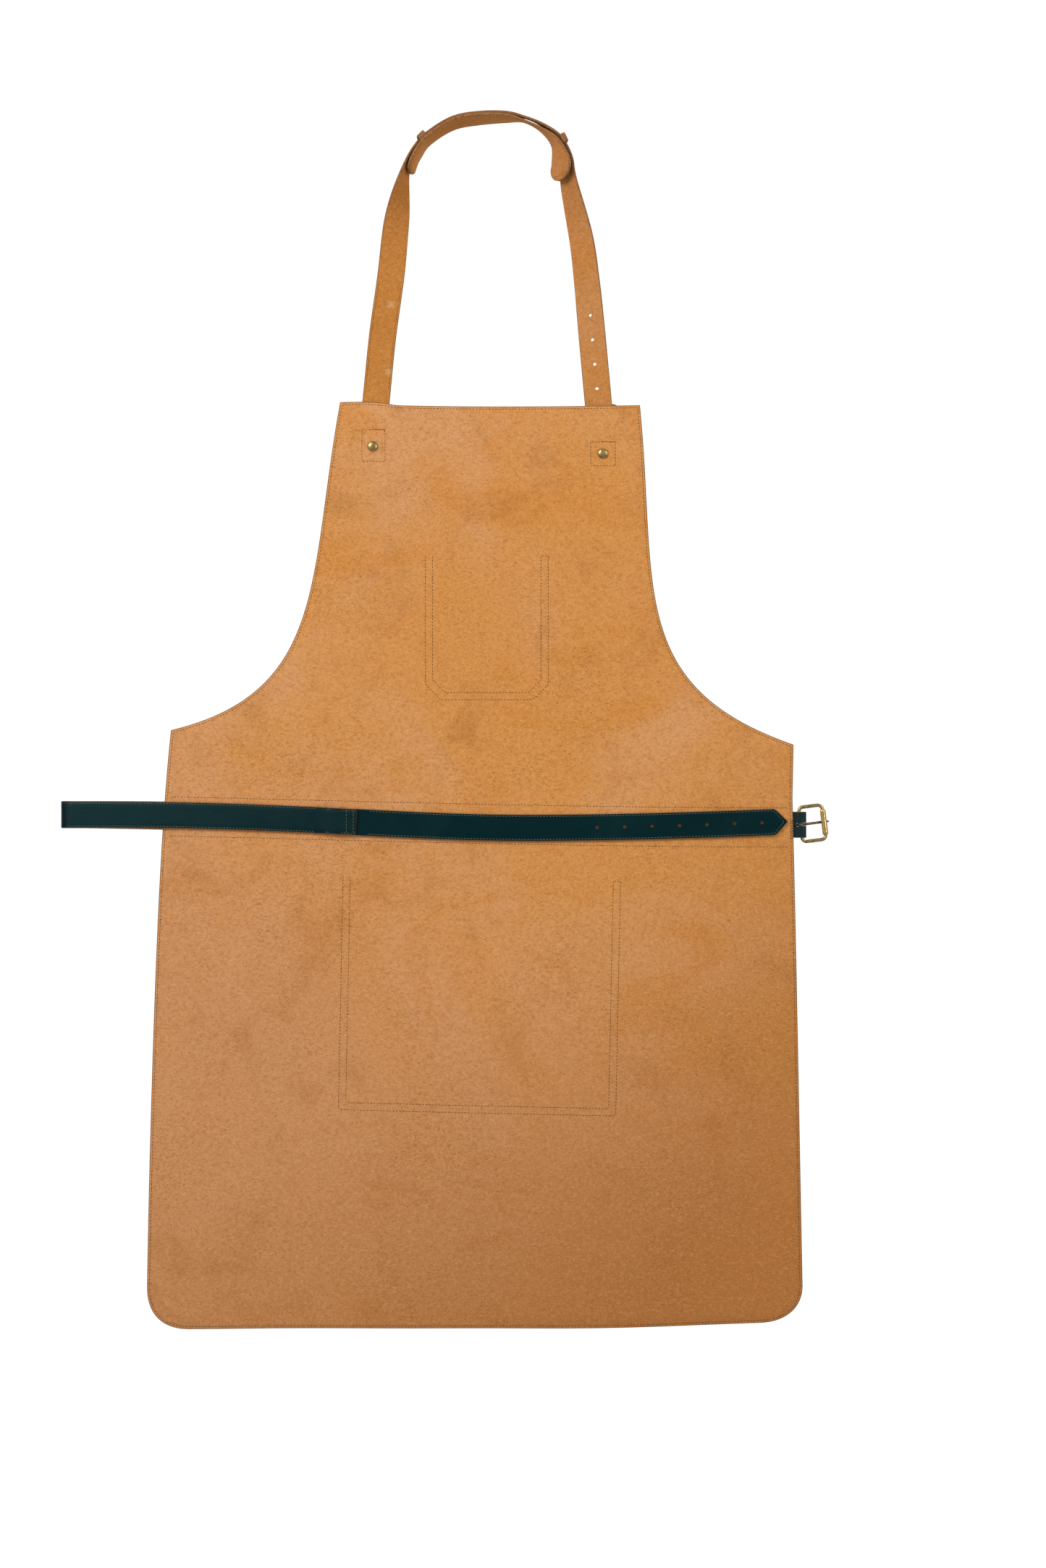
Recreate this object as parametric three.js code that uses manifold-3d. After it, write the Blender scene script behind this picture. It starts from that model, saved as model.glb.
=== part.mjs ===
// Leather welding apron: a bib body with two patch pockets, a belt in a stitched channel,
// and a neck strap with a pad. Millimetres, +Z up, the wearer stands on the -Y side.
// The origin is where the neck pad rests on the wearer.
import * as THREE from 'three';
import { mergeVertices } from 'three/addons/utils/BufferGeometryUtils.js';
import Module from 'manifold-3d';

const wasm = await Module();
wasm.setup();

// Leather and clearances
const gap = 0.3; // between pieces that lie on each other
const bodyThick = 1.8;
const patchThick = 1.6; // pockets and belt channel
const beltThick = 3.0;
const strapThick = 2.6;
const chapeThick = 1.6; // the folded leathers that hold the buckles
const padThick = 2.5;
const keeperThick = 1.2;

// Body outline
const bibHalfWidth = 137.7;
const bibTopLeft = -260.0;
const bibTopRight = -262.7;
const waistLeft = -293;
const waistLeftZ = -561.3;
const waistRight = 278.8;
const waistRightZ = -574.6;
const hemLeft = -314.5;
const hemRight = 287.3;
const hemZ = -1111;
const hemRiseRight = 4.5; // the hem sits this much higher at its right end
const hemCorner = 38;
const armholeLeft = { out: 29.7, down: 160.9, inward: 145, rise: 35 }; // how its curve leaves each end
const armholeRight = { out: 16.7, down: 165.2, inward: 155.4, rise: 53.8 };
const swellLeft = { out: 15.5, down: 138.7 }; // how the side edges swell out below the waist
const swellRight = { out: 1.5, down: 130 };

// Patch pockets: the sheet's size, and the place of its top middle
const chestPocket = { width: 118, height: 135, x: -3, top: -401, chamfer: 15, turn: 0 };
const lowerPocket = { width: 260, height: 218, x: -7.5, top: -697.5, chamfer: 0, turn: -1.2 };
const pocketMargin = 11; // flat rim that takes the two rows of stitches
const pocketDepth = 5; // room between the pocket and the body

// Belt
const beltWidth = 25;
const strapWidth = 25; // the neck strap
const beltFoldX = -388; // axis of the fold, left of the body
const beltFoldR = 4.6; // centreline radius of the fold
const beltZ = -638.9; // height of the belt at the fold
const beltLapX = -124; // where the two lengths of the belt are lapped and sewn
const beltTipX = 273;
const beltTipLength = 12;
const beltHoleR = 1.5;
const beltHoleFirst = 98.4;
const beltHolePitch = 25.2;
const beltHoles = 7;
const channelWidth = beltWidth + 16;
const channelDrop = 11.8; // how far its line falls from the fold to the right edge
const channelRim = 4;
const channelPlay = 2.7; // above and below the belt

// Roller buckles: two alike
const wireR = 1.65;
const buckleReach = 21.8; // from the hinge bar to the roller bar
const buckleSpan = Math.max(beltWidth, strapWidth) + 6.9; // between the two side bars
const buckleCorner = 4;
const rollerR = 2.7;
const rollerLength = buckleSpan - 8.9;
const prongR = 1.2;
const runGap = 0.25; // running clearance on the bars
const waistBuckle = { x: 285.5, y: 2.9, z: -648.3, tilt: 7 };
const neckBuckle = { x: 102.5, z: -284.7, tilt: 4 };

// Neck strap and pad
const strapHoleR = 1.5;
const strapHolePitch = 22.5;
const strapHoleLow = -247.1; // the lowest hole above the bib
const strapHolesUp = 4;
const foldZ = -253; // the neck loop folds about this height
const foldHalf = 3; // half the length of the stretch that bends
const strapEndLeft = -322;
const strapEndRight = -392;
const strapPoint = 14;
const padWidth = 38;
const padGap = 0.93; // between the strap and the pad
const padFlareLeft = 1.5; // how far the pad's ends stand off the strap
const padFlareRight = 4;
const padKeeper = 8;

// Rivets
const rivetCapR = 4.6;
const rivetCapHigh = 2.2;
const rivetPostR = 1.4;
const rivetLeft = { x: -107.7, z: -300.6 };
const rivetRight = { x: 103.7, z: -307.2 };

// Planes the layers lie on, from the wearer's side to the front
const bodyBack = -bodyThick / 2;
const bodyFront = bodyThick / 2;
const onFront = bodyFront + gap; // back face of whatever lies on the front

const apron = new THREE.Group();

const finishes = {
  flesh: { color: 0xc98f56, roughness: 0.95, metalness: 0 },
  grain: { color: 0x0b2f33, roughness: 0.45, metalness: 0 },
  brass: { color: 0x9c8148, roughness: 0.35, metalness: 1 },
};

function addPiece(name, geometry, finish) {
  const bare = geometry.clone();
  for (const key of Object.keys(bare.attributes)) {
    if (key !== 'position') bare.deleteAttribute(key);
  }
  const merged = mergeVertices(bare, 1e-4);
  merged.computeVertexNormals();
  const mesh = new THREE.Mesh(merged, new THREE.MeshStandardMaterial(finishes[finish]));
  mesh.name = name;
  apron.add(mesh);
  return mesh;
}

// Booleans
function toSolid(geometry) {
  const bare = geometry.clone();
  for (const key of Object.keys(bare.attributes)) {
    if (key !== 'position') bare.deleteAttribute(key);
  }
  const merged = mergeVertices(bare, 1e-4);
  const vertProperties = new Float32Array(merged.attributes.position.array);
  const triVerts = new Uint32Array(merged.index.array);
  return new wasm.Manifold(new wasm.Mesh({ numProp: 3, vertProperties, triVerts }));
}

function toGeometry(solid) {
  const mesh = solid.getMesh();
  const geometry = new THREE.BufferGeometry();
  geometry.setAttribute('position', new THREE.BufferAttribute(mesh.vertProperties, 3));
  geometry.setIndex(new THREE.BufferAttribute(mesh.triVerts, 1));
  return geometry;
}

function cut(geometry, cutters) {
  return toGeometry(cutters.reduce((solid, tool) => solid.subtract(toSolid(tool)), toSolid(geometry)));
}

function join(geometries) {
  const [first, ...rest] = geometries.map(toSolid);
  return toGeometry(rest.reduce((solid, other) => solid.add(other), first));
}

// A flat sheet: the shape is drawn in X and Z, and lies from yBack to yBack + thick
function sheet(shape, thick, yBack, curveSegments = 24) {
  const settings = { depth: thick, bevelEnabled: false, curveSegments };
  const geometry = new THREE.ExtrudeGeometry(shape, settings);
  geometry.rotateX(Math.PI / 2);
  geometry.translate(0, yBack + thick, 0);
  return geometry;
}

function block(x0, x1, y0, y1, z0, z1) {
  const geometry = new THREE.BoxGeometry(x1 - x0, y1 - y0, z1 - z0);
  geometry.translate((x0 + x1) / 2, (y0 + y1) / 2, (z0 + z1) / 2);
  return geometry;
}

// A round punch through the leather, along Y
function punch(radius, x, z, y0 = -40, y1 = 40) {
  const geometry = new THREE.CylinderGeometry(radius, radius, y1 - y0, 20);
  geometry.translate(x, (y0 + y1) / 2, z);
  return geometry;
}

// A closed body whose section is swept along stations. Each station has a place, and the
// directions the section's u (across) and v (towards the grain side) point in.
function sweep(stations, sectionAt) {
  const rings = stations.map((station, i) => sectionAt(i, stations.length).map(([u, v]) => (
    station.at.clone().addScaledVector(station.across, u).addScaledVector(station.out, v))));
  const sides = rings[0].length;
  const positions = rings.flat().flatMap((p) => [p.x, p.y, p.z]);
  const index = [];
  for (let i = 0; i < rings.length - 1; i += 1) {
    for (let k = 0; k < sides; k += 1) {
      const a = i * sides + k;
      const b = i * sides + ((k + 1) % sides);
      index.push(a, b, a + sides, b, b + sides, a + sides);
    }
  }
  const flat = rings.map((ring, i) => sectionAt(i, rings.length).map(([u, v]) => new THREE.Vector2(u, v)));
  const last = (rings.length - 1) * sides;
  for (const [a, b, c] of THREE.ShapeUtils.triangulateShape(flat[0], [])) index.push(c, b, a);
  for (const [a, b, c] of THREE.ShapeUtils.triangulateShape(flat[flat.length - 1], [])) {
    index.push(last + a, last + b, last + c);
  }
  const geometry = new THREE.BufferGeometry();
  geometry.setAttribute('position', new THREE.Float32BufferAttribute(positions, 3));
  geometry.setIndex(index);
  return facingOut(geometry);
}

function facingOut(geometry) {
  const p = geometry.attributes.position;
  const at = (i) => new THREE.Vector3().fromBufferAttribute(p, i);
  let volume = 0;
  const order = geometry.index.array;
  for (let i = 0; i < order.length; i += 3) {
    volume += at(order[i]).dot(at(order[i + 1]).cross(at(order[i + 2])));
  }
  if (volume > 0) return geometry;
  const turned = [];
  for (let i = 0; i < order.length; i += 3) turned.push(order[i], order[i + 2], order[i + 1]);
  geometry.setIndex(turned);
  return geometry;
}

// Stations along a list of points, for a band whose width runs along one fixed direction
function straightStations(points, across) {
  return points.map((at, i) => {
    const before = points[Math.max(i - 1, 0)];
    const after = points[Math.min(i + 1, points.length - 1)];
    const along = after.clone().sub(before).normalize();
    const side = across.clone().addScaledVector(along, -across.dot(along)).normalize();
    return { at, across: side, out: along.clone().cross(side).normalize(), along };
  });
}

function bandSection(width, thick) {
  const u = width / 2;
  const v = thick / 2;
  return [[-u, -v], [u, -v], [u, v], [-u, v]];
}

function band(points, across, width, thick) {
  const section = bandSection(width, thick);
  return sweep(straightStations(points, across), () => section);
}

const vec = (x, y, z) => new THREE.Vector3(x, y, z);
const smooth = (t) => t * t * (3 - 2 * t);
const rad = THREE.MathUtils.degToRad;

// Points on an arc in the X-Y plane
function arcXY(x, y, z, radius, from, to, steps) {
  return Array.from({ length: steps + 1 }, (_, i) => {
    const angle = rad(from + ((to - from) * i) / steps);
    return vec(x + radius * Math.cos(angle), y + radius * Math.sin(angle), z);
  });
}

// The body: one hide, cut out, with holes for the two rivets
function bodyShape() {
  const shape = new THREE.Shape();
  shape.moveTo(-bibHalfWidth, bibTopLeft);
  shape.bezierCurveTo(-bibHalfWidth - armholeLeft.out, bibTopLeft - armholeLeft.down,
    waistLeft + armholeLeft.inward, waistLeftZ + armholeLeft.rise, waistLeft, waistLeftZ);
  shape.quadraticCurveTo(waistLeft - swellLeft.out, waistLeftZ - swellLeft.down,
    hemLeft, hemZ + hemCorner);
  shape.bezierCurveTo(hemLeft, hemZ + 14, hemLeft + 14, hemZ, hemLeft + hemCorner, hemZ);
  shape.quadraticCurveTo(60, hemZ - 2, hemRight - hemCorner, hemZ + hemRiseRight);
  shape.bezierCurveTo(hemRight - 14, hemZ + hemRiseRight + 1, hemRight + 2, hemZ + 20,
    hemRight, hemZ + hemRiseRight + hemCorner);
  shape.quadraticCurveTo(waistRight + swellRight.out, waistRightZ - swellRight.down,
    waistRight - 1, waistRightZ - 50);
  shape.lineTo(waistRight, waistRightZ);
  shape.bezierCurveTo(waistRight - armholeRight.inward, waistRightZ + armholeRight.rise,
    bibHalfWidth + armholeRight.out, bibTopRight - armholeRight.down, bibHalfWidth, bibTopRight);
  shape.quadraticCurveTo(0, bibTopRight - 2.5, -bibHalfWidth + 50, bibTopRight);
  shape.quadraticCurveTo(-bibHalfWidth + 35, bibTopLeft + 1.5, -bibHalfWidth, bibTopLeft);
  return shape;
}

function addBody() {
  const holeR = rivetPostR + gap;
  const holes = [rivetLeft, rivetRight].map(({ x, z }) => punch(holeR, x, z));
  addPiece('body_panel', cut(sheet(bodyShape(), bodyThick, bodyBack), holes), 'flesh');
}

// A patch pocket: a flat rim on three sides, and a front that stands off the body
function pocketShape({ width, height, chamfer }, inset) {
  const half = width / 2 - inset;
  const low = -height + inset;
  const cutOff = Math.max(chamfer - inset * 0.4, 0);
  const shape = new THREE.Shape();
  shape.moveTo(-half, 0);
  shape.lineTo(-half, low + cutOff);
  if (cutOff > 0) shape.lineTo(-half + cutOff, low);
  shape.lineTo(half - cutOff, low);
  if (cutOff > 0) shape.lineTo(half, low + cutOff);
  shape.lineTo(half, 0);
  shape.closePath();
  return shape;
}

function addPocket(name, pocket) {
  const rim = sheet(pocketShape(pocket, 0), patchThick, onFront);
  const wall = pocketMargin - patchThick;
  const raised = sheet(pocketShape(pocket, wall), pocketDepth + patchThick, onFront);
  const room = sheet(pocketShape(pocket, pocketMargin), pocketDepth + 1, onFront - 1);
  const mouth = block(-pocket.width / 2 + pocketMargin, pocket.width / 2 - pocketMargin,
    onFront - 1, onFront + pocketDepth, -1, 1);
  const shell = cut(join([rim, raised]), [room, mouth]);
  shell.rotateY(-rad(pocket.turn));
  shell.translate(pocket.x, 0, pocket.top);
  addPiece(name, shell, 'grain');
}

// The line that the channel and the belt in it follow across the front
function channelZ(x) {
  const t = Math.min(Math.max((x - beltFoldX) / (waistBuckle.x - beltFoldX), 0), 1);
  return beltZ - channelDrop * Math.sin((Math.PI / 2) * t) ** 1.3;
}

// The belt's line across the wearer's side, from the fold to the tip
function beltBackZ(x) {
  const t = (x - beltFoldX) / (beltTipX - beltFoldX);
  return beltZ - 12.6 * Math.sin(Math.PI * Math.min(t * 0.82, 1)) * smooth(Math.min(t * 1.5, 1)) + 0.4 * t;
}

const beltFrontY = onFront + beltThick / 2 + 0.1;
const beltBackY = bodyBack - gap - beltThick / 2;

function spread(from, to, steps) {
  return Array.from({ length: steps + 1 }, (_, i) => from + ((to - from) * i) / steps);
}

function addChannel() {
  const half = channelWidth / 2;
  const room = onFront + beltThick + 2 * gap; // the band's inner face over the belt
  const flat = beltWidth / 2 + channelPlay;
  const slope = half - channelRim;
  const section = [
    [-half, onFront], [-slope, onFront], [-flat, room], [flat, room], [slope, onFront], [half, onFront],
    [half, onFront + patchThick], [slope, onFront + patchThick], [flat, room + patchThick],
    [-flat, room + patchThick], [-slope, onFront + patchThick], [-half, onFront + patchThick],
  ];
  const stations = spread(-296.5, waistRight - 2, 16).map((x) => (
    { at: vec(x, 0, channelZ(x)), across: vec(0, 0, 1), out: vec(0, 1, 0) }));
  addPiece('belt_channel', sweep(stations, () => section), 'grain');
}

function addBelt() {
  const up = vec(0, 0, 1);
  const nearFold = -330; // where the runs start to spread towards the fold
  const spreadY = (x, from, to) => {
    const t = Math.min(Math.max((nearFold - x) / (nearFold - beltFoldX), 0), 1);
    return from + (to - from) * smooth(t);
  };
  const frontEnd = waistBuckle.x - 36;
  const front = [...spread(frontEnd, nearFold, 12), ...spread(nearFold, beltFoldX + gap, 6).slice(1)]
    .map((x) => vec(x, spreadY(x, beltFrontY, beltFoldR), channelZ(x)));
  addPiece('belt_front_run', band(front, up, beltWidth, beltThick), 'grain');

  const fold = arcXY(beltFoldX - gap / 2, 0, beltZ, beltFoldR, 90, 270, 12);
  addPiece('belt_fold', band(fold, up, beltWidth, beltThick), 'grain');

  const back = [...spread(beltFoldX + gap, nearFold, 6), ...spread(nearFold, beltLapX - gap / 2, 8).slice(1)]
    .map((x) => vec(x, spreadY(x, beltBackY, -beltFoldR), beltBackZ(x)));
  addPiece('belt_back_strap', band(back, up, beltWidth, beltThick), 'grain');

  const tipStart = beltTipX - beltTipLength;
  const tip = [...spread(beltLapX + gap / 2, tipStart, 14), ...spread(tipStart, beltTipX, 2).slice(1)]
    .map((x) => vec(x, beltBackY, beltBackZ(x)));
  const nose = 3; // width left at the very tip
  const tipWidth = (i) => {
    const t = Math.min(Math.max((tip[i].x - tipStart) / beltTipLength, 0), 1);
    return beltWidth + (nose - beltWidth) * t;
  };
  const body = sweep(straightStations(tip, up), (i) => bandSection(tipWidth(i), beltThick));
  const holes = Array.from({ length: beltHoles }, (_, i) => {
    const x = beltHoleFirst + i * beltHolePitch;
    return punch(beltHoleR, x, beltBackZ(x));
  });
  addPiece('belt_tip_strap', cut(body, holes), 'grain');
}

// Roller buckle, drawn round its hinge bar: u runs from the bar to the roller, w along the
// bar, h out of the frame's plane.
function roundedFrame() {
  const u = buckleReach;
  const w = buckleSpan / 2;
  const c = buckleCorner;
  const outline = [];
  const corner = (cu, cw, from) => {
    for (let i = 0; i <= 4; i += 1) {
      const angle = rad(from + 22.5 * i);
      outline.push(vec(cu + c * Math.cos(angle), cw + c * Math.sin(angle), 0));
    }
  };
  corner(u - c, w - c, 0);
  corner(c, w - c, 90);
  corner(c, -w + c, 180);
  corner(u - c, -w + c, 270);
  return outline;
}

// A closed wire loop: rings joined end to end
function wireLoop(points, radius, sides = 12) {
  const count = points.length;
  const positions = [];
  points.forEach((at, i) => {
    const along = points[(i + 1) % count].clone().sub(points[(i - 1 + count) % count]).normalize();
    const outward = along.clone().cross(vec(0, 0, 1)).normalize();
    for (let k = 0; k < sides; k += 1) {
      const angle = (2 * Math.PI * k) / sides;
      const p = at.clone().addScaledVector(outward, radius * Math.cos(angle));
      positions.push(p.x, p.y, p.z + radius * Math.sin(angle));
    }
  });
  const index = [];
  for (let i = 0; i < count; i += 1) {
    for (let k = 0; k < sides; k += 1) {
      const a = i * sides + k;
      const b = i * sides + ((k + 1) % sides);
      const c = ((i + 1) % count) * sides + k;
      const d = ((i + 1) % count) * sides + ((k + 1) % sides);
      index.push(a, b, c, b, d, c);
    }
  }
  const geometry = new THREE.BufferGeometry();
  geometry.setAttribute('position', new THREE.Float32BufferAttribute(positions, 3));
  geometry.setIndex(index);
  return facingOut(geometry);
}

function roller() {
  const inner = wireR + runGap;
  const half = rollerLength / 2;
  const profile = [[inner, -half], [rollerR, -half], [rollerR, half], [inner, half], [inner, -half]];
  const geometry = new THREE.LatheGeometry(profile.map(([r, y]) => new THREE.Vector2(r, y)), 24);
  geometry.translate(buckleReach, 0, 0);
  return geometry;
}

// The prong: an eye round the bar, and a pin that rests on the roller's front
function prong() {
  const eyeIn = wireR + runGap;
  const eyeR = eyeIn + 1.5;
  const profile = [[eyeIn, -prongR], [eyeR, -prongR], [eyeR, prongR], [eyeIn, prongR], [eyeIn, -prongR]];
  const eye = new THREE.LatheGeometry(profile.map(([r, y]) => new THREE.Vector2(r, y)), 24);
  const rise = rollerR + prongR + gap;
  const start = eyeR - 0.7;
  const points = [
    vec(start, 0, 0), vec(start + 3, 0, 0.4), vec(buckleReach * 0.55, 0, 2.2),
    vec(buckleReach - 2.5, 0, rise), vec(buckleReach + 1.5, 0, rise), vec(buckleReach + 4.5, 0, rise - 1.6),
  ];
  const curve = new THREE.CatmullRomCurve3(points);
  const section = Array.from({ length: 10 }, (_, k) => {
    const angle = (2 * Math.PI * k) / 10;
    return [prongR * Math.cos(angle), prongR * Math.sin(angle)];
  });
  const pin = sweep(straightStations(curve.getPoints(16), vec(0, 1, 0)), (i) => (
    i > 14 ? section.map(([u, v]) => [u * 0.7, v * 0.7]) : section));
  return join([eye, pin]);
}

// Puts a buckle piece, drawn as above, at its place: it reaches along `along`, tilted in its own
// plane and leaning forward by `lean` degrees
function placeBuckle(geometry, place, along, lean = 0) {
  const out = vec(0, 1, 0);
  const pull = along.clone().applyAxisAngle(out, -rad(place.tilt));
  const reach = pull.multiplyScalar(Math.cos(rad(lean))).addScaledVector(out, Math.sin(rad(lean)));
  const across = out.clone().cross(reach).normalize();
  const upright = reach.clone().cross(across).normalize();
  const basis = new THREE.Matrix4().makeBasis(reach, across, upright);
  basis.setPosition(place.x, place.y, place.z);
  return geometry.applyMatrix4(basis);
}

function addWaistBuckle() {
  const right = vec(1, 0, 0);
  const frame = placeBuckle(wireLoop(roundedFrame(), wireR), waistBuckle, right);
  addPiece('waist_buckle_frame', frame, 'brass');
  addPiece('waist_buckle_roller', placeBuckle(roller(), waistBuckle, right), 'brass');
  addPiece('waist_buckle_prong', placeBuckle(prong(), waistBuckle, right), 'brass');

  // Chape: a leather folded round the bar, its two ends in the channel with the belt's end
  const thick = chapeThick;
  const foldR = wireR + 0.35 + thick / 2;
  const wide = beltWidth - 1;
  const tiltRoom = (wide / 2) * Math.sin(rad(waistBuckle.tilt)) + gap; // for the tilted bar
  const foldX = waistBuckle.x + tiltRoom;
  const legX = waistBuckle.x - 34;
  const legY = thick / 2 + gap / 2;
  const mouth = waistBuckle.x - 5.6; // just clear of the body's edge
  const opening = 4; // how far the legs take to spread to the bar
  const leg = (side) => spread(legX, foldX, 28).map((x) => {
    const t = smooth(Math.min(Math.max((x - mouth) / opening, 0), 1));
    return vec(x, waistBuckle.y + side * (legY + (foldR - legY) * t), waistBuckle.z);
  });
  const turn = arcXY(foldX, waistBuckle.y, waistBuckle.z, foldR, -90, 90, 12);
  const line = [...leg(-1).slice(0, -1), ...turn, ...leg(1).reverse().slice(1)];
  const chape = band(line, vec(0, 0, 1), wide, thick);
  const slotHalf = prongR + 3 * gap;
  const eyeR = wireR + runGap + 1.5;
  const slot = block(waistBuckle.x - eyeR - 3 * gap, waistBuckle.x + 20, -10, 16,
    waistBuckle.z - slotHalf, waistBuckle.z + slotHalf);
  addPiece('waist_chape', cut(chape, [slot]), 'grain');
}

function addNeckBuckle() {
  const up = vec(0, 0, 1);
  const thick = chapeThick;
  const foldR = wireR + 0.35 + thick / 2;
  const inner = onFront + thick / 2;
  const place = { ...neckBuckle, y: inner + foldR };
  const lean = 5.5; // the frame leans out over the strap
  addPiece('neck_buckle_frame', placeBuckle(wireLoop(roundedFrame(), wireR), place, up, lean), 'brass');
  addPiece('neck_buckle_roller', placeBuckle(roller(), place, up, lean), 'brass');
  addPiece('neck_buckle_prong', placeBuckle(prong(), place, up, lean), 'brass');

  const wide = strapWidth - 1;
  const tiltRoom = (wide / 2) * Math.sin(rad(neckBuckle.tilt)) + gap; // for the tilted bar
  const foldZTop = neckBuckle.z + tiltRoom;
  const low = rivetRight.z - 14;
  const outer = inner + thick + gap; // the outer leg lies on the inner one at the rivet
  const innerLeg = spread(low, foldZTop, 8).map((z) => vec(neckBuckle.x, inner, z));
  const outerLeg = spread(foldZTop, low, 16).map((z) => {
    const t = smooth(Math.min((foldZTop - z) / 14, 1));
    return vec(neckBuckle.x, inner + 2 * foldR + (outer - inner - 2 * foldR) * t, z);
  });
  const turn = Array.from({ length: 11 }, (_, i) => {
    const angle = rad(-90 + 18 * i);
    return vec(neckBuckle.x, place.y + foldR * Math.sin(angle), foldZTop + foldR * Math.cos(angle));
  });
  const line = [...innerLeg.slice(0, -1), ...turn, ...outerLeg.slice(1)];
  const chape = band(line, vec(1, 0, 0), wide, thick);
  const slotHalf = prongR + 2 * gap;
  const eyeR = wireR + runGap + 1.5;
  const slot = block(neckBuckle.x - slotHalf, neckBuckle.x + slotHalf, onFront - 1, 16,
    neckBuckle.z - eyeR - 3 * gap, foldZTop + 12);
  const hole = punch(rivetPostR + gap, rivetRight.x, rivetRight.z);
  addPiece('neck_chape', cut(chape, [slot, hole]), 'grain');
  return outer + thick / 2;
}

// A two-part rivet: a domed cap on the wearer's side, and one with the post on the front
function addRivet(side, { x, z }, frontFace) {
  const dome = (r, high) => {
    const points = [[0, 0], [r, 0], [r, 0.4], [r * 0.9, high * 0.55], [r * 0.6, high * 0.88], [0, high]];
    return new THREE.LatheGeometry(points.map(([a, b]) => new THREE.Vector2(a, b)), 24);
  };
  const back = bodyBack - gap;
  const front = frontFace + gap;
  const cap = dome(rivetCapR, rivetCapHigh);
  cap.rotateX(Math.PI);
  cap.translate(x, back, z);
  addPiece(`${side}_rivet_cap`, cap, 'brass');
  const head = dome(rivetCapR, rivetCapHigh);
  head.translate(x, front, z);
  const post = new THREE.CylinderGeometry(rivetPostR, rivetPostR, front + 0.2 - back - gap, 16);
  post.translate(x, (front + 0.2 + back + gap) / 2, z);
  addPiece(`${side}_rivet_post`, join([head, post]), 'brass');
}

// The neck strap: x, z and roll. Roll 0 lies flat, grain to the front; 90 stands on edge,
// grain away from the neck.
const strapY = onFront + strapThick / 2;
const loopRoute = [
  [-104.0, foldZ + foldHalf, 0], [-98.7, -198, 4], [-91.0, -142, 12], [-85.9, -94, 28],
  [-77.5, -46, 80], [-66.5, -24, 88], [-53.0, -11, 90], [-33.5, 0, 90], [-11.3, 4.2, 90],
  [14.6, 5.2, 94], [32, 2.6, 102], [49.5, -5.2, 98], [63.5, -17.5, 86], [70.2, -36, 68],
  [72.5, -58, 56], [84.0, -110, 32], [89.4, -152, 22], [92.3, -182, 14], [98.6, foldZ + foldHalf, 0],
];

function routeStations(route, perSpan) {
  const curve = new THREE.CatmullRomCurve3(route.map(([x, z]) => vec(x, strapY, z)));
  const spans = route.length - 1;
  const steps = spans * perSpan;
  return Array.from({ length: steps + 1 }, (_, i) => {
    const t = i / steps;
    const at = curve.getPoint(t);
    const along = curve.getTangent(t);
    const k = Math.min(Math.floor(t * spans), spans - 1);
    const roll = rad(THREE.MathUtils.lerp(route[k][2], route[k + 1][2], smooth(t * spans - k)));
    const outward = along.clone().cross(vec(0, 1, 0)).normalize();
    const out = vec(0, Math.cos(roll), 0).addScaledVector(outward, Math.sin(roll));
    return { at, along, out, across: along.clone().cross(out).normalize() };
  });
}

function addNeckLoop() {
  const stations = routeStations(loopRoute, 4);
  const strip = sweep(stations, () => bandSection(strapWidth, strapThick));
  const holes = Array.from({ length: strapHolesUp }, (_, i) => {
    const z = strapHoleLow + i * strapHolePitch;
    const near = stations.filter((s) => s.at.x > 0).reduce((a, b) => (
      Math.abs(a.at.z - z) < Math.abs(b.at.z - z) ? a : b));
    const t = (z - near.at.z) / near.along.z;
    return punch(strapHoleR, near.at.x + near.along.x * t, z);
  });
  addPiece('neck_strap', cut(strip, holes), 'grain');

  // The pad follows the strap on its inner side
  const inner = strapThick / 2 + padGap + padThick / 2;
  const first = stations.findIndex((s) => s.at.z > -48);
  const lastFrom = stations.findIndex((s) => s.at.x > 60 && s.at.z < -54);
  const count = lastFrom - first;
  const padStations = stations.slice(first, lastFrom + 1).map((s, i) => {
    const flare = padFlareLeft * Math.max(1 - i / 6, 0) + padFlareRight * Math.max(1 - (count - i) / 16, 0);
    return { ...s, at: s.at.clone().addScaledVector(s.out, -inner - flare) };
  });
  const round = (i, n) => {
    const reach = Math.min(i, n - 1 - i);
    return padWidth * Math.min(1, Math.sqrt(0.12 + 0.3 * reach));
  };
  addPiece('neck_pad', sweep(padStations, (i, n) => bandSection(round(i, n), padThick)), 'grain');

  // Keepers on the pad's outer side, with the strap running through them
  const over = strapThick / 2 + 4 * gap;
  const under = -strapThick / 2;
  const clear = strapWidth / 2 + 5 * gap;
  const wide = clear + keeperThick;
  const bridge = [
    [-wide, under], [-clear, under], [-clear, over], [clear, over], [clear, under], [wide, under],
    [wide, over + keeperThick], [-wide, over + keeperThick],
  ];
  [['left_pad_keeper', -62], ['right_pad_keeper', 65]].forEach(([name, x]) => {
    const s = stations.reduce((a, b) => (Math.abs(a.at.x - x) + (a.at.z < -60 ? 99 : 0)
      < Math.abs(b.at.x - x) + (b.at.z < -60 ? 99 : 0) ? a : b));
    const ends = [-padKeeper / 2, padKeeper / 2].map((d) => (
      { ...s, at: s.at.clone().addScaledVector(s.along, d) }));
    addPiece(name, sweep(ends, () => bridge), 'grain');
  });
}

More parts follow.
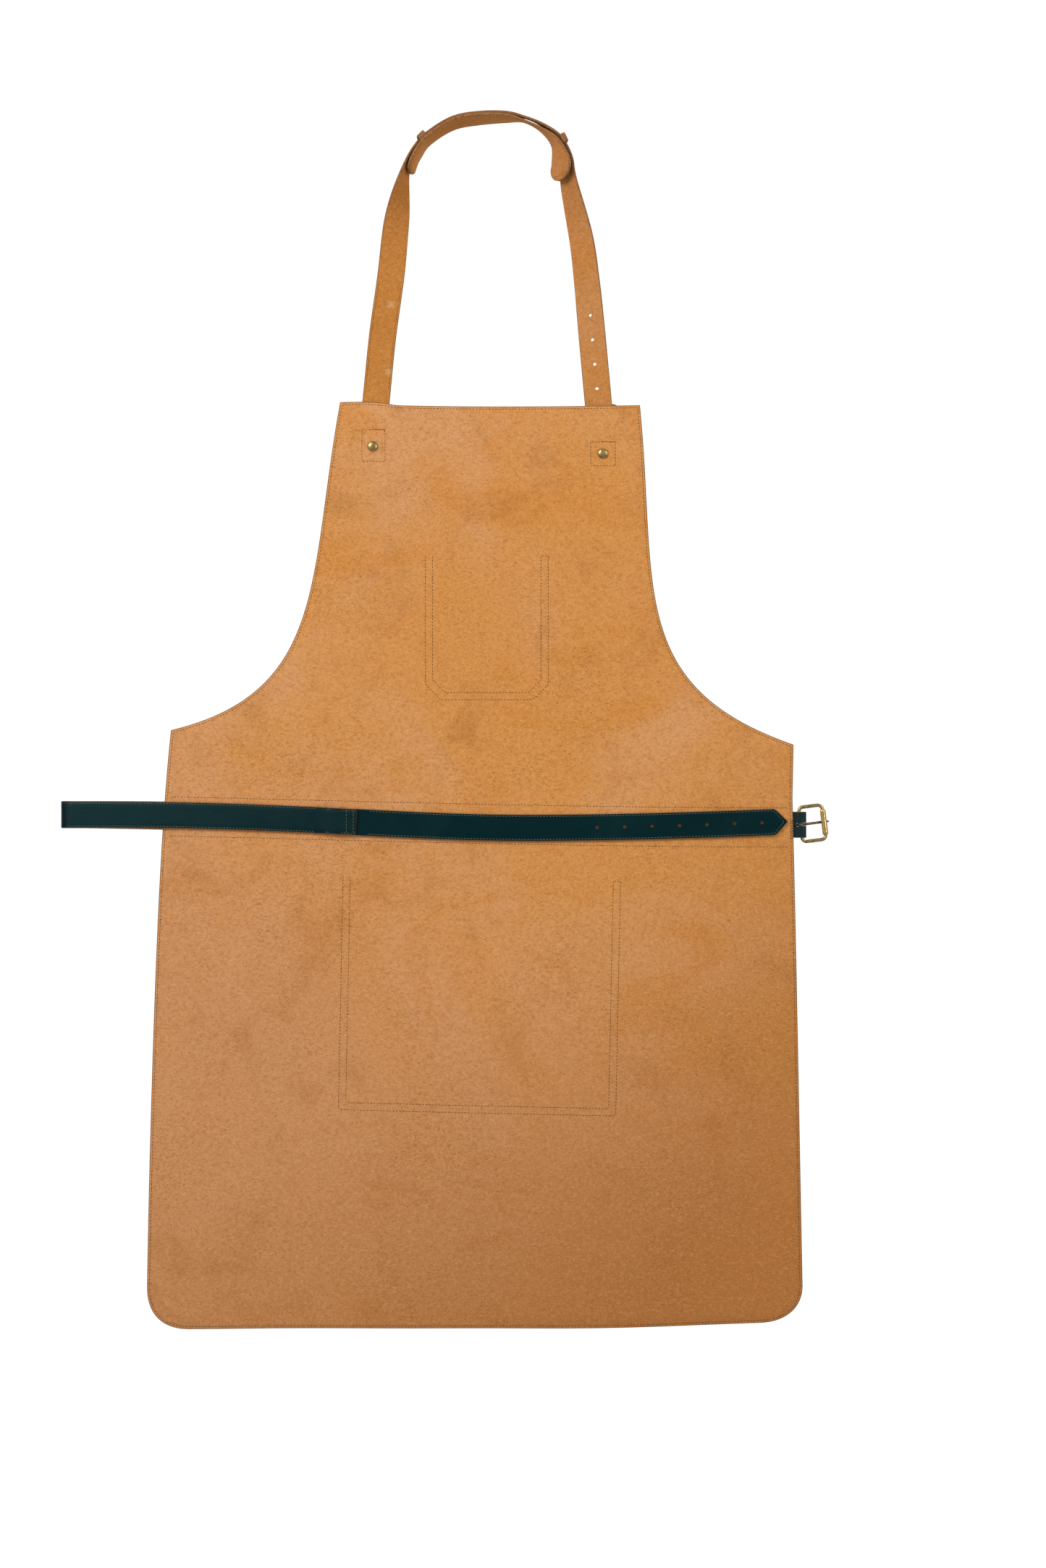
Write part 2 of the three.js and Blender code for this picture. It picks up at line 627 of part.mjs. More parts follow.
// The strap's ends, which are fast to the bib, and the short stretches that bend
function addStrapEnds(chapeFront) {
  const across = vec(1, 0, 0);
  const leftX = (z) => -104.3 + (z - foldZ) * 0.1;
  const rightX = (z) => 98.9 - (z - foldZ) * 0.09;
  const lineOf = (xOf, from, to, n, yOf) => spread(from, to, n).map((z) => vec(xOf(z), yOf(z), z));
  const level = () => strapY;
  const top = foldZ + foldHalf - gap;
  const low = foldZ - foldHalf;
  [['left_strap_bend', leftX], ['right_strap_bend', rightX]].forEach(([name, xOf]) => {
    addPiece(name, band(lineOf(xOf, low + gap, top, 4, level), across, strapWidth, strapThick), 'grain');
  });

  const anchor = band(lineOf(leftX, strapEndLeft, low, 6, level), across, strapWidth, strapThick);
  addPiece('left_strap_anchor', cut(anchor, [punch(rivetPostR + gap, rivetLeft.x, rivetLeft.z)]), 'grain');

  // Behind the roller, up through the frame, over the bar, and down over the rivet
  const overBar = onFront + 2 * chapeThick + 2 * (wireR + 0.35) + gap + strapThick / 2;
  const overRivet = chapeFront + gap + rivetCapHigh + gap + strapThick / 2;
  const rollerZ = neckBuckle.z + buckleReach;
  const barTop = neckBuckle.z + wireR + chapeThick + 0.35;
  const behind = rollerZ - 3; // the strap leaves the front here
  const rivetTop = rivetRight.z + 8;
  const rivetLow = rivetRight.z - 6;
  const tailY = (z) => {
    if (z > barTop) {
      const t = Math.min(Math.max((behind - z) / (behind - barTop), 0), 1);
      return strapY + (overBar - strapY) * smooth(t);
    }
    if (z > rivetTop) return overBar + (overRivet - overBar) * smooth((barTop - z) / (barTop - rivetTop));
    if (z > rivetLow) return overRivet;
    return overRivet - (overRivet - strapY - 2) * smooth(Math.min((rivetLow - z) / 60, 1));
  };
  const tail = lineOf(rightX, low, strapEndRight + strapPoint, 44, tailY);
  const end = lineOf(rightX, strapEndRight + strapPoint, strapEndRight, 3, tailY).slice(1);
  const all = [...tail, ...end];
  const widthAt = (i) => (i < tail.length ? strapWidth : strapWidth * (1 - (i - tail.length + 1) / 3.4));
  const strip = sweep(straightStations(all, across), (i) => bandSection(widthAt(i), strapThick));
  const prongHole = block(neckBuckle.x - 2.2, neckBuckle.x + 2.2, -5, 20,
    neckBuckle.z + 4.6, neckBuckle.z + 14);
  const tailHoles = [1, 2, 3].map((k) => {
    const z = rivetRight.z + 2 - k * strapHolePitch;
    return punch(strapHoleR, rightX(z), z);
  });
  addPiece('neck_strap_tail', cut(strip, [prongHole, ...tailHoles]), 'grain');

  // The keeper holds the tail down, just below the buckle's bar
  const keeperZ = neckBuckle.z - 9.5;
  const centre = rightX(keeperZ);
  const near = bodyFront + gap;
  const far = tailY(keeperZ) + strapThick / 2 + 2 * gap;
  const clear = strapWidth / 2 + 1;
  const loop = join([
    block(centre - clear - keeperThick, centre - clear, near, far + keeperThick, keeperZ - 4, keeperZ + 4),
    block(centre + clear, centre + clear + keeperThick, near, far + keeperThick, keeperZ - 4, keeperZ + 4),
    block(centre - clear - 0.2, centre + clear + 0.2, far, far + keeperThick, keeperZ - 4, keeperZ + 4),
  ]);
  addPiece('neck_keeper', loop, 'grain');
}

addBody();
addPocket('chest_pocket', chestPocket);
addPocket('lower_pocket', lowerPocket);
addChannel();
addBelt();
addWaistBuckle();
const chapeFront = addNeckBuckle();
addRivet('left', rivetLeft, onFront + strapThick);
addRivet('right', rivetRight, chapeFront);
addNeckLoop();
addStrapEnds(chapeFront);

export default apron;
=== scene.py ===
import math
import random
import bmesh
import bpy
import numpy as np
from mathutils import Matrix, Vector
from mathutils.geometry import delaunay_2d_cdt


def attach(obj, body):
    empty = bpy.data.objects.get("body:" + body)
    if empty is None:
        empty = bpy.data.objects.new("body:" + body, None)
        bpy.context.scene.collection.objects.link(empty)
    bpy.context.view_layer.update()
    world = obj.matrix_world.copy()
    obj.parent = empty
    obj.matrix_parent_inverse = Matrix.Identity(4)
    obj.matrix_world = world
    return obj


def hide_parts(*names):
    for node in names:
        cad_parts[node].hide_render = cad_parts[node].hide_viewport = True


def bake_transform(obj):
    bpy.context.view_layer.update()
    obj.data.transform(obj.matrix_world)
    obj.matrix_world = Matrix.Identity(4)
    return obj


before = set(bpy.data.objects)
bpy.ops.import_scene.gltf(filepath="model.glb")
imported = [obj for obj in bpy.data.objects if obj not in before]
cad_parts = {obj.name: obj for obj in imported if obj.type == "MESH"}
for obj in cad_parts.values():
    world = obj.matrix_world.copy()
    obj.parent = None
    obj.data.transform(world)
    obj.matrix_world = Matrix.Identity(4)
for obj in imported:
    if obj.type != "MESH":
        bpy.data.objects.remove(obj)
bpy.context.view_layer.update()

random.seed(11)
mm = 0.001
up, front, right = Vector((0, 0, 1)), Vector((0, 1, 0)), Vector((1, 0, 0))


# ---- camera and light
studio = {
    "distance": 2.4,
    "aimX": 0.0303,
    "aimZ": -0.6108,
    "viewHeight": 1.441,  # metres of apron from the top of the view to its foot
    "sensor": 36,
    "ambient": 0.50,
    "backdrop": 1.05,
    "lamps": {  # place, size and power
        "keyLamp": ((-1.9, -2.3, 1.0), 1.6, 62),
        "fillLamp": ((2.2, -2.4, 0.2), 2.0, 34),
        "backLamp": ((1.6, 2.6, 0.9), 1.8, 55),
        "backFillLamp": ((-2.0, 2.4, 0.0), 2.0, 34),
    },
}


def addLamp(name, place, size, power):
    light = bpy.data.lights.new(name, "AREA")
    light.size = size
    light.energy = power
    holder = bpy.data.objects.new(name, light)
    holder.location = place
    aim = Vector((0, 0, studio["aimZ"])) - Vector(place)
    holder.rotation_euler = aim.to_track_quat("-Z", "Y").to_euler()
    bpy.context.scene.collection.objects.link(holder)


def setRoom():  # plain white to the camera, and a softer white as light
    world = bpy.data.worlds.new("paleRoom")
    bpy.context.scene.world = world
    world.use_nodes = True
    tree = world.node_tree
    tree.nodes.clear()
    output = tree.nodes.new("ShaderNodeOutputWorld")
    path = tree.nodes.new("ShaderNodeLightPath")
    mix = tree.nodes.new("ShaderNodeMixShader")
    tree.links.new(path.outputs["Is Camera Ray"], mix.inputs[0])
    for i, kind in ((1, "ambient"), (2, "backdrop")):
        shade = tree.nodes.new("ShaderNodeBackground")
        shade.inputs["Color"].default_value = (1, 1, 1, 1)
        shade.inputs["Strength"].default_value = studio[kind]
        tree.links.new(shade.outputs[0], mix.inputs[i])
    tree.links.new(mix.outputs[0], output.inputs["Surface"])


def setStage():
    scene = bpy.context.scene
    camera = bpy.data.objects.new("camera", bpy.data.cameras.new("camera"))
    scene.collection.objects.link(camera)
    camera.location = (studio["aimX"], -studio["distance"], studio["aimZ"])
    camera.rotation_euler = (math.pi / 2, 0, 0)
    camera.data.sensor_width = studio["sensor"]
    camera.data.lens = studio["sensor"] * studio["distance"] / studio["viewHeight"]
    scene.camera = camera
    scene.view_settings.view_transform = "Standard"
    scene.view_settings.look = "None"
    for name, lamp in studio["lamps"].items():
        addLamp(name, *lamp)
    setRoom()
    print("stage set")


setStage()


# ---- shader maths
class Wire:  # an output socket that adds its own Math nodes
    def __init__(self, shader, socket):
        self.shader = shader
        self.socket = socket

    def sum(self, operation, first, second):
        wires = [v for v in (first, second) if isinstance(v, Wire)]
        vector = any(w.socket.type in ("VECTOR", "RGBA") for w in wires)
        kind = "ShaderNodeVectorMath" if vector else "ShaderNodeMath"
        return self.shader.node(kind, {"operation": operation}, {0: first, 1: second})

    def __add__(self, other):
        return self.sum("ADD", self, other)

    def __mul__(self, other):
        return self.sum("MULTIPLY", self, other)


class Shader:  # a material with one Principled shader, and one way to make any node
    def __init__(self, name, roughness=0.5, metallic=0.0, specular=0.5):
        self.material = bpy.data.materials.new(name)
        self.material.use_nodes = True
        self.tree = self.material.node_tree
        self.skin = self.tree.nodes["Principled BSDF"]
        self.skin.inputs["Roughness"].default_value = roughness
        self.skin.inputs["Metallic"].default_value = metallic
        self.skin.inputs["Specular IOR Level"].default_value = specular

    def node(self, kind, settings=None, sockets=None, out=0):
        made = self.tree.nodes.new(kind)
        for key, value in (settings or {}).items():
            setattr(made, key, value)
        for key, value in (sockets or {}).items():
            if isinstance(value, Wire):
                self.tree.links.new(value.socket, made.inputs[key])
            else:
                target = made.inputs[key]
                if target.type == "RGBA" and len(value) == 3:
                    value = (*value, 1)
                target.default_value = value
        return Wire(self, made.outputs[out])

    def place(self):
        return self.node("ShaderNodeTexCoord", out="Object")

    def noise(self, at, scale, detail=3.0, rough=0.55, twist=0.0):
        sockets = {"Vector": at, "Scale": scale, "Detail": detail}
        sockets.update({"Roughness": rough, "Distortion": twist})
        return self.node("ShaderNodeTexNoise", sockets=sockets)

    def steps(self, value, low, high, to=(0.0, 1.0)):
        sockets = {"Value": value, 1: low, 2: high, 3: to[0], 4: to[1]}
        return self.node("ShaderNodeMapRange", {"interpolation_type": "SMOOTHSTEP"}, sockets)

    def blend(self, amount, first, second, how="MIX"):
        settings = {"data_type": "RGBA", "blend_type": how}
        return self.node("ShaderNodeMix", settings, {0: amount, 6: first, 7: second}, out=2)

    def turned(self, at, turn, size):
        sockets = {"Vector": at, "Rotation": turn, "Scale": size}
        return self.node("ShaderNodeMapping", sockets=sockets)

    def apart(self, at):
        split = self.tree.nodes.new("ShaderNodeSeparateXYZ")
        self.tree.links.new(at.socket, split.inputs[0])
        return [Wire(self, output) for output in split.outputs]

    def bump(self, height, strength, distance):
        sockets = {"Height": height, "Strength": strength, "Distance": distance}
        return self.node("ShaderNodeBump", sockets=sockets)

    def wear(self, **sockets):
        names = {"color": "Base Color", "roughness": "Roughness", "normal": "Normal"}
        for name, value in sockets.items():
            self.tree.links.new(value.socket, self.skin.inputs[names[name]])
        return self.material


# ---- leathers, thread and brass
suede = {
    "orange": (0.645, 0.276, 0.072),
    "tan": (0.660, 0.312, 0.125),
    "amber": (0.610, 0.236, 0.044),
    "pink": (0.560, 0.262, 0.116),
    "brown": (0.385, 0.140, 0.032),
    "pore": (0.200, 0.074, 0.018),
    "pale": (0.72, 0.38, 0.155),
    "leg": (0.50, 0.185, 0.026),
    "rub": (0.72, 0.46, 0.24),
    "rubs": ((-0.0912, 0.0013, -0.1698), (-0.0932, 0.0013, -0.2313)),
    "rough": 0.95,
    "shine": 0.06,
    "napTurn": (0, 0.85, 0),
    "napDepth": 0.0009,
    "marks": {  # how many lie in a metre, from broad to fine
        "clouds": 5.0,
        "stains": 7.5,
        "patches": 9,
        "drift": 15,
        "mottle": 300,
        "nap": 500,
        "fine": 1300,
    },
}


def makeSuede(name, tones):
    s = Shader(name, suede["rough"], specular=suede["shine"])
    at = s.place()
    x, _, z = s.apart(at)
    marks = suede["marks"]
    clouds = s.noise(at, marks["clouds"], 3, 0.5, 0.6)
    drift = s.noise(at, marks["drift"], 4, 0.62, 0.8)
    mottle = s.noise(s.turned(at, suede["napTurn"], (1.0, 1.0, 1.4)), marks["mottle"], 5, 0.72, 0.7)
    nap = s.noise(s.turned(at, suede["napTurn"], (1.0, 1.0, 1.7)), marks["nap"], 4, 0.74, 0.8)
    fine = s.noise(at, marks["fine"], 2, 0.6)
    patches = s.steps(s.noise(at, marks["patches"], 2, 0.5, 0.4), 0.44, 0.66)
    stains = s.noise(s.turned(at, (0, 0.5, 0), (0.8, 1.0, 1.4)), marks["stains"], 4, 0.6, 1.4)
    color = s.blend(s.steps(clouds, 0.38, 0.62), suede["orange"], suede["tan"])
    color = s.blend(s.steps(stains, 0.50, 0.66) * 0.58, color, suede["amber"])
    color = tones(s, x, z, color)
    color = s.blend(s.steps(drift, 0.50, 0.74) * 0.40, color, suede["brown"])
    color = s.blend(s.steps(mottle, 0.45, 0.70) * 0.52, color, suede["brown"])
    color = s.blend(s.steps(mottle, 0.51, 0.30) * 0.30, color, suede["pale"])
    color = s.blend(s.steps(nap, 0.50, 0.70) * (patches * 0.28 + 0.44), color, suede["pore"])
    color = s.blend(s.steps(nap, 0.50, 0.30) * 0.26, color, suede["pale"])
    color = s.blend(s.steps(fine, 0.45, 0.75) * 0.14, color, suede["brown"])
    height = mottle * 0.35 + nap * 0.5 + fine * 0.15
    return s.wear(color=color, normal=s.bump(height, 0.5, suede["napDepth"]))


def bodyTones(s, x, z, color):  # pinker low on the left, browner low on the right and at the hem
    down = z * -1.0
    lowLeft = s.steps(down + x * -0.55, 0.60, 1.05)
    lowRight = s.steps(down + x * 0.95, 0.72, 1.30)
    color = s.blend(lowLeft * 0.85, color, suede["pink"])
    color = s.blend(lowRight * 0.80, color, suede["brown"])
    return s.blend(s.steps(down, 0.90, 1.14) * 0.30, color, suede["brown"])


def strapTones(s, x, z, color):  # the left leg is more orange than the right, and the arch is browner
    color = s.blend(s.steps(x, 0.02, -0.07) * 0.85, color, suede["leg"])
    color = s.blend(s.steps(x, 0.03, 0.08) * 0.45, color, suede["brown"])
    for spot in suede["rubs"]:
        near = s.node("ShaderNodeVectorMath", {"operation": "DISTANCE"}, {0: s.place(), 1: spot}, out=1)
        rub = s.steps(near + s.noise(s.place(), 260, 3, 0.7) * 0.008, 0.0095, 0.0050)
        color = s.blend(rub * 0.5, color, suede["rub"])
    return s.blend(s.steps(z, -0.13, -0.05) * 0.40, color, suede["brown"])


green = {
    "deep": (0.0002, 0.0150, 0.0175),
    # a paler green: random tone and wear marks, and the painted sheen highlight towards the belt's fold
    "wearAndSheen": (0.0075, 0.032, 0.035),
    "scuff": (0.20, 0.16, 0.09),
    "grain": 620,
}


def makeGreen(name, scuffAndSheen=0.0, rough=0.34, shine=0.2):
    s = Shader(name, rough, specular=shine)
    at = s.place()
    clouds = s.noise(at, 14, 4, 0.6, 0.5)
    pebbles = {"Vector": at, "Scale": green["grain"]}
    cells = s.node("ShaderNodeTexVoronoi", {"feature": "DISTANCE_TO_EDGE"}, pebbles)
    streak = s.noise(s.turned(at, (0, 0, 0), (0.4, 1, 1.5)), 60, 4, 0.65, 0.4)
    color = s.blend(s.steps(clouds, 0.42, 0.80) * 0.35, green["deep"], green["wearAndSheen"])
    marks = s.steps(s.noise(at, 120, 4, 0.7, 1.0), 0.60, 0.78)
    color = s.blend(marks * 0.22, color, green["wearAndSheen"])
    if scuffAndSheen:
        x, _, z = s.apart(at)
        # painted sheen highlight: the green gets paler towards the fold end, where the curving leather
        # catches the light
        color = s.blend(s.steps(x, -0.12, -0.40) * 0.55, color, green["wearAndSheen"])
        edge = s.steps(z, -0.6545, -0.6600) * s.steps(x, -0.26, -0.20) * s.steps(x, -0.115, -0.135)
        wearAndSheen = s.steps(s.noise(at, 420, 3, 0.7), 0.55, 0.68)
        color = s.blend(wearAndSheen * (edge * 0.85 + scuffAndSheen), color, green["scuff"])
    gloss = s.steps(streak, 0.3, 0.75, (rough - 0.07, rough + 0.18))
    height = s.steps(cells, 0.0, 0.22) * 0.5 + streak * 0.5
    return s.wear(color=color, roughness=gloss, normal=s.bump(height, 0.16, 0.0003))


def makePlain(name, tone, second, rough, scale=700, depth=0.0002):
    s = Shader(name, rough)
    at = s.place()
    grit = s.noise(at, scale, 3, 0.6)
    color = s.blend(s.steps(grit, 0.35, 0.70), tone, second)
    return s.wear(color=color, normal=s.bump(grit, 0.35, depth))


def makeBrass(name, bright, dark, polish):
    s = Shader(name, 0.34, 1.0)
    at = s.place()
    patina = s.noise(at, 260, 4, 0.65, 0.5)
    fine = s.noise(s.turned(at, (0.3, 0.2, 0.5), (1, 1, 5)), 1500, 2, 0.6)
    color = s.blend(s.steps(patina, 0.40, 0.68) * (1 - polish), bright, dark)
    gloss = s.steps(patina, 0.3, 0.8, (0.24, 0.52))
    return s.wear(color=color, roughness=gloss, normal=s.bump(fine * 0.5 + patina * 0.5, 0.16, 0.0002))


bodySuede = makeSuede("bodySuede", bodyTones)
strapSuede = makeSuede("strapSuede", strapTones)
bodyGreen = makeGreen("bodyGreen", rough=0.40)
beltGreen = makeGreen("beltGreen", rough=0.42, shine=0.05)
# the belt's back run: real scuffs along its lower edge, and a painted sheen highlight towards the fold
scuffAndSheenGreen = makeGreen("scuffAndSheenGreen", scuffAndSheen=0.02, rough=0.42, shine=0.09)
cutEdge = makePlain("cutEdge", (0.20, 0.088, 0.032), (0.30, 0.135, 0.046), 0.9)
edgeTan = makePlain("edgeTan", (0.36, 0.150, 0.045), (0.17, 0.066, 0.020), 0.9)
darkThread = makePlain("darkThread", (0.045, 0.030, 0.012), (0.10, 0.056, 0.022), 0.9, 1500, 0.0001)
beigeThread = makePlain("beigeThread", (0.20, 0.165, 0.085), (0.075, 0.070, 0.042), 0.85, 1500, 0.0001)
agedBrass = makeBrass("agedBrass", (0.46, 0.33, 0.13), (0.075, 0.050, 0.020), 0.30)
rolledBrass = makeBrass("rolledBrass", (0.66, 0.47, 0.18), (0.24, 0.16, 0.06), 0.55)
darkBrass = makeBrass("darkBrass", (0.20, 0.11, 0.06), (0.05, 0.03, 0.02), 0.1)
print("materials made")


# ---- mesh tools
def faceOut(piece):
    work = bmesh.new()
    work.from_mesh(piece.data)
    bmesh.ops.recalc_face_normals(work, faces=work.faces)
    work.to_mesh(piece.data)
    work.free()


def addMesh(name, points, faces, materials, tags=None, smooth=True, closed=True):
    mesh = bpy.data.meshes.new(name)
    mesh.from_pydata([tuple(p) for p in points], [], faces)
    for material in materials:
        mesh.materials.append(material)
    if tags is not None:
        mesh.polygons.foreach_set("material_index", tags)
    mesh.polygons.foreach_set("use_smooth", [smooth] * len(mesh.polygons))
    mesh.update()
    piece = bpy.data.objects.new(name, mesh)
    bpy.context.scene.collection.objects.link(piece)
    if closed:
        faceOut(piece)
    return piece


def circle(middle, u, v, radius, sides):
    angles = [2 * math.pi * k / sides for k in range(sides)]
    return [middle + (u * math.cos(a) + v * math.sin(a)) * radius for a in angles]


def walls(rings, sides, closed=False):  # four-sided faces between rings of points
    found = []
    for i in range(rings if closed else rings - 1):
        low, high = i * sides, (i + 1) % rings * sides
        for k in range(sides):
            j = (k + 1) % sides
            found.append((low + k, low + j, high + j, high + k))
    return found


def caps(rings, sides):  # the faces that close the first and last ring
    last = (rings - 1) * sides
    return [tuple(range(sides))[::-1], tuple(range(last, last + sides))]


def joined(parts):  # several lists of points and faces as one
    points, faces = [], []
    for more, added in parts:
        faces += [tuple(v + len(points) for v in face) for face in added]
        points += more
    return points, faces


def applied(piece):
    bpy.context.view_layer.update()
    graph = bpy.context.evaluated_depsgraph_get()
    mesh = bpy.data.meshes.new_from_object(piece.evaluated_get(graph))
    piece.modifiers.clear()
    piece.data = mesh
    mesh.set_sharp_from_angle(angle=math.radians(35))


def cutOut(piece, points, faces):  # takes a closed form out of a leather; the cut shows as edge
    punch = addMesh("punch", points, faces, piece.data.materials, [2] * len(faces))
    cut = piece.modifiers.new("punch", "BOOLEAN")
    cut.operation = "DIFFERENCE"
    cut.solver = "EXACT"
    cut.object = punch
    applied(piece)
    bpy.data.objects.remove(punch)


def ease(t):
    t = min(max(t, 0), 1)
    return t * t * (3 - 2 * t)


def spread(low, high, steps):
    return [low + (high - low) * i / steps for i in range(steps + 1)]


def bezier(start, first, second, end, steps):
    found = []
    for t in spread(0, 1, steps):
        q = 1 - t
        parts = (q ** 3, 3 * q * q * t, 3 * q * t * t, t ** 3)
        knots = (start, first, second, end)
        found.append(tuple(sum(w * p[k] for w, p in zip(parts, knots)) for k in (0, 1)))
    return found


def quadratic(start, middle, end, steps):
    first = [start[k] + (middle[k] - start[k]) * 2 / 3 for k in (0, 1)]
    second = [end[k] + (middle[k] - end[k]) * 2 / 3 for k in (0, 1)]
    return bezier(start, first, second, end, steps)


def evenly(points, pitch, closed=False):
    line = [np.array(p, float) for p in points]
    if closed:
        line.append(line[0])
    lengths = [np.linalg.norm(b - a) for a, b in zip(line, line[1:])]
    total = sum(lengths)
    count = max(int(round(total / pitch)), 1)
    found, i, passed = [], 0, 0.0
    for k in range(count if closed else count + 1):
        target = total * k / count
        while i < len(lengths) - 1 and passed + lengths[i] < target:
            passed += lengths[i]
            i += 1
        t = (target - passed) / max(lengths[i], 1e-12)
        found.append(line[i] + (line[i + 1] - line[i]) * min(t, 1))
    return found


def signedArea(loop):
    return sum(a[0] * b[1] - b[0] * a[1] for a, b in zip(loop, loop[1:] + loop[:1])) / 2


def inset(loop, distance):  # moves a clockwise or anticlockwise loop inwards
    points = [np.array(p, float) for p in loop]
    sign = 1 if signedArea(points) > 0 else -1
    found = []
    for i, point in enumerate(points):
        before, after = points[i - 1], points[(i + 1) % len(points)]
        d0, d1 = point - before, after - point
        d0, d1 = d0 / np.linalg.norm(d0), d1 / np.linalg.norm(d1)
        n = np.array((-d0[1] - d1[1], d0[0] + d1[0])) * sign
        n /= np.linalg.norm(n)
        lean = max(n @ (np.array((-d0[1], d0[0])) * sign), 0.5)
        found.append(point + n * distance / lean)
    return found


def inside(points, loop):
    x, z = points[:, 0], points[:, 1]
    found = np.zeros(len(points), bool)
    for (x0, z0), (x1, z1) in zip(loop, np.roll(loop, -1, axis=0)):
        crosses = (z0 > z) != (z1 > z)
        with np.errstate(divide="ignore", invalid="ignore"):
            found ^= crosses & (x < (x1 - x0) * (z - z0) / (z1 - z0) + x0)
    return found


def addHide(name, outline, thick, cell, yAt, rim=0.0007):
    # a flat-cut leather: back face, front face and a rounded cut edge; yAt gives its middle
    outer = np.array(outline)
    inner = np.array(inset(outline, rim))
    lowest, highest = inner.min(0), inner.max(0)
    grid = np.array([(x, z) for x in np.arange(lowest[0] + cell / 2, highest[0], cell)
                     for z in np.arange(lowest[1] + cell / 2, highest[1], cell)])
    grid = grid[inside(grid, np.array(inset(outline, rim + cell * 0.45)))]
    count = len(inner)
    flat = [Vector(p) for p in inner] + [Vector(p) for p in grid]
    found = delaunay_2d_cdt(flat, [], [list(range(count))], 1, 1e-7)
    places, triangles, origins = found[0], found[2], found[3]
    total = len(places)
    ringOf = {source: i for i, sources in enumerate(origins) for source in sources if source < count}
    points, faces, tags = [], [], []
    for side in (-1, 1):
        points += [(p.x, yAt(p.x, p.y) + side * thick / 2, p.y) for p in places]
    for side in (-1, 1):
        points += [(p[0], yAt(p[0], p[1]) + side * thick * 0.3, p[1]) for p in outer]
    for a, b, c in triangles:
        faces += [(a, b, c), (c + total, b + total, a + total)]
        tags += [0, 1]
    backEdge, faceEdge = 2 * total, 2 * total + count
    for i in range(count):
        j = (i + 1) % count
        rings = [(ringOf[i], ringOf[j]), (backEdge + i, backEdge + j), (faceEdge + i, faceEdge + j),
                 (ringOf[i] + total, ringOf[j] + total)]
        for (a, b), (c, d) in zip(rings, rings[1:]):
            faces.append((a, b, d, c))
            tags.append(2)
    return addMesh(name, points, faces, [bodySuede, bodyGreen, cutEdge], tags)


def across(points, side):
    rows = []
    for i, at in enumerate(points):
        along = (points[min(i + 1, len(points) - 1)] - points[max(i - 1, 0)]).normalized()
        u = (side - along * side.dot(along)).normalized()
        rows.append((at, u, along.cross(u).normalized(), along))
    return rows


def strapSection(width, thick, crown):  # u across, v to the grain side; tag 0 flesh, 1 grain, 2 edge
    w, t, r = width / 2, thick / 2, min(thick * 0.28, 0.0007)
    inner, top = w - r, t + crown
    return [((-inner, -t), 0), ((0, -t), 0), ((inner, -t), 2), ((w, -t + r), 2), ((w, t - r), 2),
            ((inner, t), 1), ((inner * 0.6, top), 1), ((0, top), 1), ((-inner * 0.6, top), 1),
            ((-inner, t), 2), ((-w, t - r), 2), ((-w, -t + r), 2)]


def addStrap(name, rows, materials, thick, width, crown=0.0):
    points = []
    for i, (at, u, v, _) in enumerate(rows):
        wide = width(i) if callable(width) else width
        section = strapSection(wide, thick, crown)
        points += [at + u * a + v * b for (a, b), _ in section]
    count = len(section)
    faces = walls(len(rows), count) + caps(len(rows), count)
    tags = [tag for _, tag in section] * (len(rows) - 1) + [2, 2]
    return addMesh(name, points, faces, materials, tags)


def punchHoles(piece, holes, radius):  # each hole is a place and a direction
    parts = []
    sides, reach = 20, 0.012
    for place, direction in holes:
        u = direction.orthogonal().normalized()
        v = direction.cross(u).normalized()
        points = []
        for end in (-reach, reach):
            points += circle(place + direction * end, u, v, radius, sides)
        parts.append((points, walls(2, sides) + caps(2, sides)))
    cutOut(piece, *joined(parts))


def punchSlot(piece, axes, low, high):  # a box drawn along the given axes
    origin, a, b, c = axes
    points = [origin + a * x + b * y + c * z for x in (low[0], high[0]) for y in (low[1], high[1])
              for z in (low[2], high[2])]
    faces = [(0, 1, 3, 2), (4, 6, 7, 5), (0, 4, 5, 1), (2, 3, 7, 6), (0, 2, 6, 4), (1, 5, 7, 3)]
    cutOut(piece, points, faces)


threads = {
    "pitch": 0.0030,
    "long": 0.0024,
    "radius": 0.00023,
    "sides": 6,
    "bulge": (  # share of the length, share of the radius, height above the leather
        (-0.5, 0.35, -0.8), (-0.34, 0.95, 0.25), (0.0, 1.05, 0.45), (0.34, 0.95, 0.25), (0.5, 0.35, -0.8),
    ),
}


def addStitches(name, runs, material, body, pitch=threads["pitch"], radius=threads["radius"]):
    # runs: lists of (place, outward) along a seam; each stitch lies on the leather between two holes
    sides, bulge = threads["sides"], threads["bulge"]
    parts = []
    for run in runs:
        places = evenly([tuple(p) + tuple(n) for p, n in run], pitch)
        for a, b in zip(places, places[1:]):
            first, last = Vector(a[:3]), Vector(b[:3])
            along = last - first
            if along.length < pitch * 0.3:
                continue
            out = Vector(a[3:]).normalized()
            side = along.cross(out).normalized()
            middle = (first + last) / 2
            slant = random.uniform(-0.09, 0.09)
            sunk = radius * random.uniform(0.0, 0.55)
            reach = random.uniform(0.82, 1.06) * threads["long"] / threads["pitch"]
            points = []
            for share, swell, high in bulge:
                spot = middle + along * (share * reach) + out * (radius * high - sunk)
                points += circle(spot + side * (slant * share * pitch), side, out, radius * swell, sides)
            parts.append((points, walls(len(bulge), sides) + caps(len(bulge), sides)))
    piece = addMesh(name, *joined(parts), [material])
    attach(piece, body)


